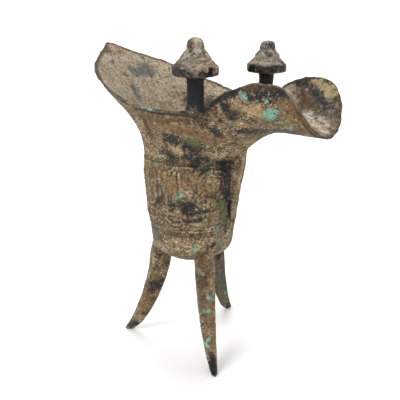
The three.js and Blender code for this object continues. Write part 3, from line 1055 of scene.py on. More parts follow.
@dataclass(frozen=True)
class Patch:
    """A patch as a thick line in the row frame, in mm, or as a thick level ring of radius `ring`
    about its start."""

    start: tuple
    end: tuple
    radius: float
    ring: float = 0.0

    def weight(self, points: Array, mirror: bool) -> Array:
        """1 on the line, a half at the radius and 0 at twice the radius.

        Args:
            points: vertices x 3.
            mirror: whether the patch's reflection across y = 0 of the cup is meant.

        Returns:
            The weight at each vertex.
        """
        flip = np.array([1, -1, 1]) if mirror else np.ones(3)
        start = (np.array(self.start) - AXIS_TO_ROW) * flip
        along = (np.array(self.end) - AXIS_TO_ROW) * flip - start
        share = np.clip(((points - start) @ along) / max(along @ along, 1e-6), 0, 1)
        gap = points - start - share[:, None] * along
        gap = np.hypot(np.hypot(gap[:, 0], gap[:, 1]) - self.ring, gap[:, 2])
        return np.clip(1 - gap / (2 * self.radius), 0, 1)


# Each row: x, y, z of the start, x, y, z of the end, the radius and, for a ring, the ring's own.
OUTER_PATCHES: dict[Patina, tuple] = {
    Patina.SOOT_AND_SHADE: (
        (1, -33.8, 149.7, 4.8, -30.9, 145.9, 2.1), (-3, -31.4, 139.8, 1.7, -30, 136.3, 2.7),
        (9.7, -27.4, 142.7, 15, -24.4, 142.4, 2.7), (9.5, -26.4, 136.9, 16.1, -20.5, 135.7, 2.7),
        (26.7, -27.4, 154.8, 28.9, -23.4, 151.8, 2),
        (37.5, -31.5, 171.3, 39.2, -26.8, 162.8, 2.4),
        (43.3, -27.9, 167.2, 44.1, -27.3, 166.2, 2), (16.6, -21, 131.3, 21.5, -9.9, 129.2, 1.7),
        (21.4, -9.4, 133.5, 22.4, -8.4, 124.2, 3), (22.6, -8.6, 121.3, 22.3, -7, 111.5, 3),
        (20.8, -15.1, 113, 20.8, -10.2, 109.8, 1.4),
        (34.8, -32.7, 171.6, 43.6, -30.5, 176.8, 2.6),
        (50.6, -29.1, 174.5, 56.6, -28.3, 174.5, 3.1),
        (57.5, -28.4, 176.8, 64.7, -27.3, 177.2, 2.5),
        (50.6, -29.3, 177.2, 56.6, -28.6, 178.1, 1.2),
        (40.3, -19.6, 154.9, 46.5, -16.1, 155.4, 2.6), (50, -13.5, 155, 68, -12, 157, 3),
        (-7.4, -30.9, 112.1, -6.4, -30.5, 106, 1.5), (1.4, -29.5, 108.8, 11.3, -24.2, 109.1, 2.3),
        (7.4, -26.7, 105.7, 16.7, -19, 105.2, 2.4), (7, -26.3, 99.3, 14.3, -20.5, 100, 1.8),
        (15.9, -14.6, 81, 17.4, -11.7, 81.8, 1.7), (-24.3, -16.4, 54.4, -23.6, -15.2, 51.1, 0.8),
        (-28.6, -19.2, 40.3, -23.3, -13.8, 43.7, 2.4), (-28.1, -18, 36.8, -25.1, -15, 39.7, 2.2),
        (-36.8, -22, 15.1, -35.9, -21, 14.9, 1.1), (-47.5, -26.3, 3.4, -42, -24.4, 6.5, 2.2),
        (24.5, -22.5, 15, 27.3, -23.6, 9.7, 1.6),
        (22.3, -34.7, 183.6, 22.3, -34.7, 183.6, 1.5, 11.4),
        (22.3, 31.3, 182.4, 22.3, 31.3, 182.4, 1.7, 11.4),
        (17.7, -45.1, 186.2, 23.5, -45.9, 184.3, 1.9), (19.8, 28.8, 196.5, 25.9, 32.1, 196, 1.9),
        (17.3, 21, 183.3, 20.5, 20.2, 183.5, 1.5), (25.7, 20.6, 183.1, 33.5, 32.1, 182.4, 1.6),
        # The last row, a ring round the bottom of the bowl, is painted shade under the bowl.
        (21.3, 30.3, 196.5, 22.3, 30.3, 199, 6.5), (-7, -1.7, 67.5, -7, -1.7, 67.5, 3, 19),
    ),
    Patina.PITCH: (
        (11.3, -26, 132.6, 14.3, -23.4, 132.6, 0.7), (22.7, -4.3, 109.2, 23.2, -4, 91.6, 0.9),
        (-4.1, 22.7, 57, -4.1, 22.7, 53.5, 1.3), (27.8, -24.2, 7.3, 30.7, -25.8, 0.7, 2.8),
        (-3.9, 27.7, 40, -4.4, 28.7, 32.8, 0.8), (-6.5, 40.4, 5.8, -8.6, 46.2, 0.2, 2.9),
        (22.3, -34.7, 179.5, 22.3, -34.7, 173, 9), (22.3, 31.3, 178, 22.3, 31.3, 172, 9),
        (31.8, -35.7, 185, 31.8, -35.7, 182.4, 2.6), (19.1, 22.5, 183.4, 19.1, 22.5, 181, 2.4),
        (-29.2, -45.4, 171.6, -10, -44.6, 164.2, 0.6),
    ),
    Patina.SMOKE: (
        (-15.9, -27.4, 88.9, -13.1, -27.7, 85.1, 3), (-4.5, 24.8, 42.7, -4.5, 30.3, 28.7, 2.6),
    ),
    Patina.MALACHITE: (
        (-4.4, -45.4, 165.6, 1, -44.8, 164.8, 0.9), (28.6, -15.6, 144.6, 29.6, -13.2, 143.8, 0.7),
        (46.5, -29.6, 173.7, 47.9, -29.2, 173.4, 1.1),
        (45.1, -30.1, 175.5, 45.5, -30, 175.1, 0.6), (45.2, -29.2, 171.8, 45.6, -29, 171.3, 0.5),
        (58.2, -27.2, 171.3, 58.9, -27.5, 172.8, 0.7),
        (57.4, -24.2, 165.4, 60.4, -24.9, 167.2, 2.2), (60.4, -24.9, 167.2, 64, -24.9, 168, 1.1),
        (61.5, -21.7, 163.2, 62.4, -21.4, 162.8, 0.7),
        (65.7, -18.5, 160.4, 67.5, -17.9, 160.1, 0.9),
        (4.6, -28.6, 114.8, 6.2, -27.9, 115.6, 1.2), (5.2, -28.4, 117.3, 5.8, -28.2, 118.5, 0.7),
        (-13.2, -30.5, 121.8, -12.2, -30.7, 121.4, 0.6),
        (10.4, -21.3, 80.5, 11.2, -20.4, 79.1, 1.1), (-26.9, -19.4, 54, -26.3, -18.2, 50.7, 0.8),
        (18.5, -18.3, 49.2, 19.3, -13.3, 45.6, 1.1), (18.2, -19.8, 40.4, 21, -18.3, 39.4, 1.2),
        (21.2, -14.3, 35.2, 21.4, -13.6, 33.5, 0.8), (20.2, -23, 21, 23, -22.5, 19, 1.3),
        (22.6, -22, 21.6, 24.2, -21.1, 23.3, 0.8), (-4.9, 33.7, 20.2, -5.4, 37.2, 13.1, 1.2),
        (-5.5, 27.9, 26.9, -5, 29.8, 26.2, 0.7),
    ),
    Patina.VERDIGRIS: (
        (12.9, -27.8, 147.1, 17.5, -24.9, 145.1, 1.6),
        (15.4, -22.2, 131.9, 18.2, -18.7, 132.3, 0.8),
        (67.8, -17.4, 159.6, 70.3, -16, 158.7, 0.9), (41.5, -17.4, 154.2, 43.1, -12.1, 152, 0.9),
        (21.4, -10, 108.1, 20.9, -5.8, 96.5, 1.9), (0, -25.9, 75.6, 7.9, -20.1, 73.2, 1.2),
        (-29.5, -17.6, 68, -28.5, -18.6, 57.6, 0.9), (-46.2, -25.3, 6.8, -43.3, -24.8, 10.4, 0.9),
        (-5.6, 28.1, 25.9, -5.6, 31, 24.5, 1.7), (26.1, -34.5, 196.6, 28.8, -36.3, 190.9, 0.8),
        (-12.8, -31.4, 130.5, -8, -31.2, 135.4, 0.8), (-4.8, 27.5, 34, -6, 38, 12, 3.2),
        (-7, -1.7, 70.4, -7, -1.7, 70.4, 1, 21.5),
    ),
    Patina.OCHRE: (
        (-8.3, -42.1, 161, 2.6, -39.8, 158.8, 1.6), (5.2, -38.7, 159.4, 17.6, -34.8, 160.8, 1.6),
        (45.1, -30.3, 176.9, 53.6, -29, 178.8, 0.9),
        (71.2, -24.3, 169.1, 73.9, -22.1, 165.6, 1.3),
        (74.5, -21.1, 164.1, 77.6, -17.7, 160.4, 1.3),
        (69.7, -25.9, 174, 72.3, -24.5, 169.7, 1.3),
        (-30.4, -20.5, 35.5, -28.2, -17.9, 35.9, 1.4),
    ),
    Patina.RUST: (
        (-34.6, -44.1, 174.3, -37, -43.6, 175.4, 1.2),
        (12.4, -17.9, 75.8, 16.6, -18.1, 56.8, 2.2), (21.2, 20.2, 185.1, 23.8, 20.2, 184.7, 1.2),
        (-9.3, -40.5, 159.1, -10.9, -34.1, 148.7, 1.7),
    ),
    Patina.SAND: (
        (-12.5, -46.4, 167.3, -6.2, -45.3, 166.2, 1.2),
        (5.7, -29.4, 142.4, 8.3, -27.5, 139.7, 1.9), (46.9, -27.2, 167.5, 52.3, -26, 166.9, 3.2),
        (12.7, -24.2, 138.1, 13.1, -23.8, 137.5, 0.6), (17.6, -18.1, 124, 19, -15.6, 123.2, 1.1),
        (-31.4, -16.2, 67.7, -27.2, -18.8, 59.7, 1.9), (17.6, -15, 60, 18.4, -12.2, 50.8, 1.5),
    ),
    Patina.ASH: (
        (19.7, -12.1, 93.1, 19.7, -6.9, 89.4, 2), (18.8, -7.6, 82.7, 19, -4.6, 79.7, 1.6),
        (-48.9, -27.1, 0.6, -46.9, -26.1, 0.1, 1.2), (23.7, -17.3, 25.2, 23.7, -17.3, 24, 0.9),
        (12.4, -18.8, 65.3, 14.3, -18.2, 64.3, 1.4),
    ),
    Patina.RUBBED: (
        (23.3, -34.7, 187, 23.3, -33.7, 195, 8.6), (23.3, 30.3, 186.5, 23.3, 30.3, 192, 11),
    ),
    Patina.UMBER: (
        (13, -20.5, 62, 19, -22.5, 34, 1.8), (-7, 22, 66, -8, 33, 22, 8.5),
        (14, -39.5, 188.5, 17.5, -37.5, 198, 3.6), (20.5, -39, 198, 23, -39.2, 195.5, 1.8),
        (14.5, -41, 187.5, 21, -45.5, 187, 2),
    ),
    Patina.AMBER: (
        (65, -24.6, 172, 70, -20.5, 163, 2.9), (50, -25, 163, 60, -21, 160, 2.4),
        (-6, -38, 155, 14, -33, 154, 3.2), (18, -29, 152, 30, -20, 146, 3.2),
        (10, -26.5, 126, 21, -15, 118, 3.4), (-6, -31.5, 126, 4, -29.5, 116, 3.6),
        (-18, -28.5, 124, -18, -27, 108, 2.8), (14, -18, 74, 17, -17, 56, 2.9),
        (18.5, -17, 46, 22, -19.5, 28, 2.6), (-29, -16, 66, -27, -17, 46, 2.4),
        (-31, -20, 34, -36, -22, 20, 2.4),
    ),
}
INNER_PATCHES: dict[Patina, tuple] = {
    Patina.SOOT_AND_SHADE: (
        (46.5, 24.2, 177, 54, 22.7, 175.5, 2.3), (57.4, 22, 174.2, 64.2, 19.6, 169.7, 2.6),
        (65.2, 18.9, 168.8, 67.5, 15.1, 163.7, 2.1), (70.9, 18.3, 168.8, 73.7, 14.7, 163.9, 2.8),
    ),
    Patina.SMOKE: (
        (-58.6, 0.2, 178.3, -57, 13.2, 179, 3.1), (-60.1, 8, 181, -58.8, 11.3, 180.3, 2.6),
        (-50.9, -7.6, 169.3, -46.8, -9.1, 164.8, 2.2),
    ),
    Patina.MALACHITE: (
        (-4.4, -44.6, 165.4, 1, -44, 164.4, 1.1), (67.8, 21.1, 176.5, 69.2, 20.7, 175.6, 0.8),
    ),
    Patina.OCHRE: (
        (76.2, 8.8, 159.3, 77, 8.3, 159, 0.7),
    ),
    Patina.RUST: (
        (-64.8, 12.8, 187.1, -63.6, 14.5, 186.5, 1.1),
        (-64.2, -13, 186, -63.7, -12.7, 185.4, 1.3), (-57.4, -9.6, 177.7, -57.1, -8.2, 177, 0.8),
        (-55.4, 11.5, 176.6, -54.5, 12.5, 176, 1), (-40.2, 21.3, 164.6, -39.5, 21.4, 163.9, 0.9),
        (47.6, 23, 171.7, 53.4, 21.4, 170.2, 3), (52.9, 20.4, 168.1, 60.4, 18.4, 166.8, 2.7),
        (-38, 12, 160, -30, 18, 158, 2.2),
    ),
    Patina.SAND: (
        (56.5, 22.9, 179.3, 70.2, 20, 173.7, 2.7),
    ),
    Patina.WORN: (
        (59.6, 14.1, 162, 67.7, 7.6, 158.5, 2.4), (69, 7.1, 158.2, 75.7, 1.2, 156.9, 2),
        (68.2, 12.8, 161.5, 73.3, 8.3, 159.1, 1.4),
    ),
    Patina.UMBER: (
        (55, 17.5, 166, 68, 12, 161.5, 4.5), (66, 12, 161.5, 77, 3, 158, 4),
        (76, 10, 162, 76, 16, 168, 3), (-31.3, 26, 163, -22, 30, 158, 5),
    ),
    Patina.AMBER: (
        (-40, 20, 166, -26, 24, 158, 4),
    ),
}

# ---------------------------------------------------------------- the casting


@dataclass
class Casting:
    """The whole jue, cast in one piece."""

    vessel: Vessel = field(default_factory=Vessel)
    legs: tuple = (Leg(210.0), Leg(-31.5, -4.5, 0.0, 1.12), Leg(91.4, -4.2, 2.4, 1.12))
    posts: tuple = (
        Post(-1, -6.0),
        Post(1, 250.0, 1.5, cap=Post.cap[:6] + (
            (11.3, 187.1), (9.3, 188.8), (7.8, 190.6), (6.5, 192.7), (5.5, 194.4), (5.0, 195.0),
            (4.6, 196.2), (4.3, 197.6), (3.8, 199.0), (2.5, 199.8), (0.5, 200.0),
        )),
    )
    flanges: tuple = (
        Flange(1, (
            (39.9, 143.0), (38.6, 139.4), (38.3, 132.8), (37.4, 127.8), (35.7, 120.1),
            (34.0, 111.2), (32.2, 101.2), (31.1, 94.6), (29.4, 88.9), (28.2, 84.8),
        )),
        Flange(-1, (
            (31.4, 143.0), (35.6, 138.6), (36.8, 131.0), (35.6, 120.1), (33.6, 108.0),
            (31.2, 96.0), (28.8, 88.0),
        )),
    )
    handle: Handle = field(default_factory=Handle)
    fillet_reach: int = 4
    fillet_passes: int = 10
    fillet_pull: float = 0.6
    lump_height: float = 0.3
    lump_size: float = 9.0
    crust_height: float = 0.2
    crust_size: float = 2.2
    foot_calm: tuple = (0.2, 3)
    bend_spacing: float = 0.6
    plain_mark: float = 0.6
    eye_marks: tuple = (0.95, 1.15)
    band_span: tuple = (88, 135)
    band_depth: float = 1.2
    skin_outer: float = 0.5
    skin_slack: float = 1.5
    rim_slack: float = 0.8
    patch_bend: float = 1.7
    patch_bend_size: float = 6.0
    hidden_lean: float = 0.35
    hidden_span: tuple = (2, 9)
    rim_reach: float = 6.0
    chip_height: float = 0.7
    chip_size: float = 3.4
    chip_span: tuple = (0.3, 0.9)

    def joined(self) -> bpy.types.Object:
        """Makes every form and joins them into one closed mesh.

        Returns:
            The joined object, with no material yet.
        """
        body = self.vessel.surface().to_object(CASTING_NAME)
        members = (*self.legs, *self.posts, *self.flanges, self.handle)
        forms = [
            member.surface(self.vessel).to_object(f"form_{k}") for k, member in enumerate(members)
        ]
        for form, post in zip(forms[len(self.legs) :], self.posts):
            self.combine(form, [post.notch().to_object("notch")], "DIFFERENCE")
        kept = np.concatenate([self.places(item) for item in [body, *forms]])
        self.combine(body, forms, "UNION")
        self.drop_pockets(body)
        self.soften_joins(body, kept)
        return body

    def combine(self, target: bpy.types.Object, others: list, operation: str) -> None:
        """Joins or cuts objects one after the other, applies the result and removes them.

        Args:
            target: the object that is changed.
            others: the objects joined to it or cut from it.
            operation: UNION or DIFFERENCE.
        """
        for other in others:
            step = target.modifiers.new("join", "BOOLEAN")
            step.operation, step.solver, step.object = operation, "MANIFOLD", other
            graph = bpy.context.evaluated_depsgraph_get()
            mesh = bpy.data.meshes.new_from_object(target.evaluated_get(graph))
            target.modifiers.clear()
            target.data = mesh
            bpy.data.objects.remove(other)

    def drop_pockets(self, item: bpy.types.Object) -> None:
        """Removes the small closed pockets that the joining leaves inside the wall.

        Each vertex takes the lowest number found on its edges until nothing changes, so that one
        connected part has one number, and every part but the largest goes.

        Args:
            item: the joined object.
        """
        edges = self.edges(item)
        part, before = np.arange(len(item.data.vertices)), None
        while before is None or (part != before).any():
            before = part.copy()
            for near, far in (edges.T, edges.T[::-1]):
                np.minimum.at(part, near, before[far])
            part = part[part]
        shape = bmesh.new()
        shape.from_mesh(item.data)
        shape.verts.ensure_lookup_table()
        pockets = [shape.verts[k] for k in np.flatnonzero(part != np.bincount(part).argmax())]
        log.info("vertices of pockets removed: %d", len(pockets))
        bmesh.ops.delete(shape, geom=pockets, context="VERTS")
        shape.to_mesh(item.data)
        shape.free()

    def table(self, items: bpy.types.bpy_prop_collection, name: str, width: int) -> Array:
        """One property of all items of a mesh, as rows.

        Args:
            items: vertices, edges or normals.
            name: name of the property.
            width: how many numbers each item has.

        Returns:
            items x width, whole numbers where there are two and else single-precision floats.
        """
        values = np.empty(len(items) * width, np.int32 if width == 2 else np.float32)
        items.foreach_get(name, values)
        return values.reshape(-1, width)

    def places(self, item: bpy.types.Object) -> Array:
        """The vertices of an object, in metres."""
        return self.table(item.data.vertices, "co", 3)

    def edges(self, item: bpy.types.Object) -> Array:
        """The edges of an object as rows of two vertex numbers."""
        return self.table(item.data.edges, "vertices", 2)

    def normals(self, item: bpy.types.Object) -> Array:
        """The vertex normals of an object."""
        return self.table(item.data.vertex_normals, "vector", 3).astype(float)

    def move(self, item: bpy.types.Object, places: Array) -> None:
        """Puts the vertices of an object at new places."""
        item.data.vertices.foreach_set("co", places.astype(np.float32).ravel())
        item.data.update()

    def neighbour_mean(self, values: Array, edges: Array) -> Array:
        """Mean of each vertex's neighbours: the sums over the edges, divided by their number."""
        count = len(values)
        number = np.bincount(edges.ravel(), minlength=count)
        means = [
            np.bincount(edges[:, 0], column[edges[:, 1]], count)
            + np.bincount(edges[:, 1], column[edges[:, 0]], count)
            for column in values.T
        ]
        return np.stack(means, -1) / np.maximum(number, 1)[:, None]

    def soften_joins(self, item: bpy.types.Object, kept: Array) -> None:
        """Gives the corners between the forms a cast fillet.

        A vertex that none of the forms had lies on a join. The join's weight spreads over a few
        edges, and each pass moves a vertex towards the mean of its neighbours by its weight.

        Args:
            item: the joined object.
            kept: the vertices of all the forms.
        """
        places, edges = self.places(item), self.edges(item)
        known, own = (
            np.round(table * 1e6).astype(np.int64) @ np.array([1, 1 << 20, 1 << 40])
            for table in (kept, places)
        )
        weight = (~np.isin(own, known)).astype(float)
        log.info("join vertices: %d of %d", int(weight.sum()), len(weight))
        for step in range(self.fillet_reach):
            spread = weight.copy()
            fade = 1 - (step + 1) / (self.fillet_reach + 1)
            for near, far in (edges.T, edges.T[::-1]):
                np.maximum.at(spread, near, np.where(weight[far] > 0, fade, 0))
            weight = spread
        moved = places.astype(float)
        for _ in range(self.fillet_passes):
            pull = self.neighbour_mean(moved, edges) - moved
            moved += self.fillet_pull * weight[:, None] * pull
        self.move(item, moved)

    def roughen(self, item: bpy.types.Object) -> None:
        """Moves each vertex along its normal by a slow lump noise, a finer crust noise and, near
        the rim, the noise of its chips."""
        places = self.places(item).astype(float)
        mm = places / MILLIMETRE
        rise = self.lump_height * lump_noise(mm, self.lump_size, Seed.LUMPS, 2)
        rise += self.crust_height * lump_noise(mm, self.crust_size, Seed.CRUST, 2)
        near_rim = smooth_step(self.rim_nearness(mm - AXIS_TO_ROW), *self.chip_span)
        rise += self.chip_height * lump_noise(mm, self.chip_size, Seed.CHIPS, 2) * near_rim
        rise *= smooth_step(mm[:, 2], *self.foot_calm)
        self.move(item, places + self.normals(item) * rise[:, None] * MILLIMETRE)

    def mark(self, item: bpy.types.Object) -> None:
        """Writes the vertex values that the finish reads: each kind of patch, which side of the
        wall a vertex is on, how near the rim, how proud the relief, and how sharp the bend.

        Args:
            item: the finished mesh.
        """
        points = self.places(item).astype(float) / MILLIMETRE - AXIS_TO_ROW
        depth = self.vessel.distance(points)
        inner = self.inner_side(points, depth)
        seeds = (Seed.PATCH_X, Seed.PATCH_Y, Seed.PATCH_Z)
        bent = [lump_noise(points, self.patch_bend_size, seed, 2) for seed in seeds]
        bent = points + self.patch_bend * np.stack(bent, -1)
        hidden = self.hidden_side(points)
        for kind in Patina:
            weight = np.zeros(len(points))
            for rows, side in ((OUTER_PATCHES, 1 - inner), (INNER_PATCHES, inner)):
                for row in rows.get(kind, ()):
                    patch = Patch(row[:3], row[3:6], *row[6:])
                    weight = np.maximum(weight, patch.weight(bent, False) * side)
                    weight = np.maximum(weight, patch.weight(bent, True) * side * hidden)
            self.write(item, kind.value, weight)
        self.write(item, "inner", inner)
        self.write(item, "lip", self.rim_nearness(points))
        self.write(item, "relief", self.relief_mark(points, depth, inner))
        self.write(item, "bend", self.bend(item))

    def inner_side(self, points: Array, depth: Array) -> Array:
        """1 on the inside of the vessel's wall and 0 elsewhere.

        Args:
            points: vertices x 3, in the frame of the axis.
            depth: their distance to the outside of the vessel.

        Returns:
            One number for each vertex.
        """
        rim = np.array(self.vessel.rim_side, float)
        under_rim = points[:, 2] < np.interp(points[:, 0], *rim.T) + self.rim_slack
        wall = self.vessel.wall
        skin = (depth < -wall * self.skin_outer) & (depth > -wall - self.skin_slack)
        return (skin & under_rim & (points[:, 2] > self.vessel.bowl_low)).astype(float)

    def relief_mark(self, points: Array, depth: Array, inner: Array) -> Array:
        """Height of the decor at a vertex. It is `plain_mark` off the band and on the eyes.

        Args:
            points: vertices x 3, in the frame of the axis.
            depth: their distance to the outside of the vessel.
            inner: 1 on the inside of the wall.

        Returns:
            One number for each vertex.
        """
        azimuth, z = np.degrees(np.arctan2(points[:, 1], points[:, 0])), points[:, 2]
        relief = self.vessel.decor.height(azimuth, z)
        low, high = self.band_span
        on_band = (z > low) & (z < high) & (np.abs(depth - relief) < self.band_depth)
        eye = smooth_step(relief, *self.eye_marks)
        relief = relief * (1 - eye) + self.plain_mark * eye
        return np.where(on_band & (inner < 0.5), relief, self.plain_mark)

    def bend(self, item: bpy.types.Object) -> Array:
        """How sharply the surface bends: how far a vertex stands over the mean of its neighbours,
        brought to a spacing of `bend_spacing` by the square of the spacing's ratio, and averaged
        twice.

        Args:
            item: the finished mesh.

        Returns:
            The bend in mm at each vertex, above zero on outer corners.
        """
        places, edges = self.places(item).astype(float), self.edges(item)
        bend = places - self.neighbour_mean(places, edges)
        bend = np.sum(bend * self.normals(item), axis=1) / MILLIMETRE
        length = np.linalg.norm(places[edges[:, 0]] - places[edges[:, 1]], axis=1) / MILLIMETRE
        number = np.maximum(np.bincount(edges.ravel(), minlength=len(places)), 1)
        spacing = np.bincount(edges.ravel(), np.repeat(length, 2), len(places)) / number
        bend = (bend * np.clip(self.bend_spacing / spacing, 0, 1.5) ** 2)[:, None]
        for _ in range(2):
            bend = (bend + self.neighbour_mean(bend, edges)) / 2
        return bend[:, 0]

    def rim_nearness(self, points: Array) -> Array:
        """1 on the rim and 0 at `rim_reach` from it.

        Args:
            points: vertices x 3, in the frame of the axis.

        Returns:
            One number for each vertex.
        """
        rim = self.vessel.half_rim()
        rim = np.concatenate([rim, rim * np.array([1, -1, 1])])
        high = points[:, 2] > rim[:, 2].min() - self.rim_reach
        gaps = np.full(high.sum(), np.inf)
        for place in rim:
            gaps = np.minimum(gaps, np.sum((points[high] - place) ** 2, axis=1))
        near = np.zeros(len(points))
        near[high] = np.clip(1 - np.sqrt(gaps) / self.rim_reach, 0, 1)
        return near

    def hidden_side(self, points: Array) -> Array:
        """1 on the half that is away from the near side, where the near patches are mirrored."""
        return smooth_step(points[:, 1] + self.hidden_lean * points[:, 0], *self.hidden_span)

    def write(self, item: bpy.types.Object, name: str, values: Array) -> None:
        """Writes one number for each vertex."""
        layer = item.data.attributes.new(name, "FLOAT", "POINT")
        layer.data.foreach_set("value", values.astype(np.float32))

    def build(self, finish: "OldBronze") -> bpy.types.Object:
        """Builds and dresses the casting.

        Args:
            finish: its surface.

        Returns:
            The finished object, riding on the frame in place of its node.
        """
        made = self.joined()
        self.roughen(made)
        self.mark(made)
        made.data.materials.clear()
        made.data.materials.append(finish.material())
        made.data.shade_smooth()
        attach(made, "root")
        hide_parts(CASTING_NODE)
        faces, corners = len(made.data.polygons), len(made.data.loops)
        log.info("%s: %d faces, %d triangles", made.name, faces, corners - 2 * faces)
        return made


# ---------------------------------------------------------------- finishes


def linear(colour: str) -> tuple:
    """Linear colour from sRGB hex: each channel c becomes c / 12.92 below 0.04045 and
    ((c + 0.055) / 1.055) to the power 2.4 above it."""
    channels = [int(colour[k : k + 2], 16) / 255 for k in (1, 3, 5)]
    channels = [c / 12.92 if c <= 0.04045 else ((c + 0.055) / 1.055) ** 2.4 for c in channels]
    return (*channels, 1.0)


def cleared_tree(owner: bpy.types.ID) -> Tree:
    """Turns on the nodes of a material or a world and clears them."""
    owner.use_nodes = True
    owner.node_tree.nodes.clear()
    return owner.node_tree


def add_node(
    tree: Tree, kind: str, inputs: tuple | dict = (), output: int | str = 0, **settings: object
) -> Socket | None:
    """Adds a node with its settings and links.

    Args:
        tree: the node tree.
        kind: the node's type name without its first word.
        inputs: values or sockets, in the order of the node's inputs or by name or number.
        output: name or number of the output wanted.
        settings: properties of the node by name.

    Returns:
        The output, or None for a node that has none.
    """
    node = tree.nodes.new("ShaderNode" + kind)
    for name, value in settings.items():
        setattr(node, name, value)
    for name, value in inputs.items() if isinstance(inputs, dict) else enumerate(inputs):
        if isinstance(value, bpy.types.NodeSocket):
            tree.links.new(value, node.inputs[name])
        else:
            node.inputs[name].default_value = value
    return node.outputs[output] if node.outputs else None


@dataclass(frozen=True)
class Grain:
    """A fractal noise: the width of its lumps in mm, how many finer steps it has and how strong
    they are."""

    lump: float
    detail: float
    roughness: float

    def at(self, place: Socket) -> dict:
        """Inputs of a noise node that reads it at a place in mm."""
        scale = 1 / self.lump
        return dict(Vector=place, Scale=scale, Detail=self.detail, Roughness=self.roughness)


@dataclass(frozen=True)
class Mottle:
    """A colour laid over another one where a noise is high: the width of its lumps in mm, the
    noise values where it begins and where it is full, how strong it is, and the noise's finer
    part. `stretch` draws the lumps out along Z, and `cloud` is the width in mm of the slow lumps
    that keep it to some places, or 0."""

    colour: str
    lump: float
    begins: float
    full: float
    strength: float
    detail: float
    roughness: float = 0.66
    stretch: float = 1.0
    cloud: float = 0.0


@dataclass(frozen=True)
class Tint:
    """A colour laid where a measure of the shape runs from `begins` to `full`, and how strong it
    is. `on_lip` is its strength on the lip, where that is another one."""

    colour: str
    measure: str
    begins: float
    full: float
    strength: float
    on_lip: float | None = None


@dataclass(frozen=True)
class Growth:
    """How one kind of patch looks: its colour and a second one mottled into it, the width in mm
    of its ragged edge's lumps, how far they push the edge, how soft the edge is, how much of the
    crust shows through it, how far it stains what lies round it, its roughness, how metallic it
    is, and how proud it stands in mm."""

    kind: Patina
    colour: str
    mottle: str
    lump: float
    ragged: float
    softness: float
    holes: float
    halo: float
    roughness: float
    metallic: float = 0.0
    proud: float = 0.0


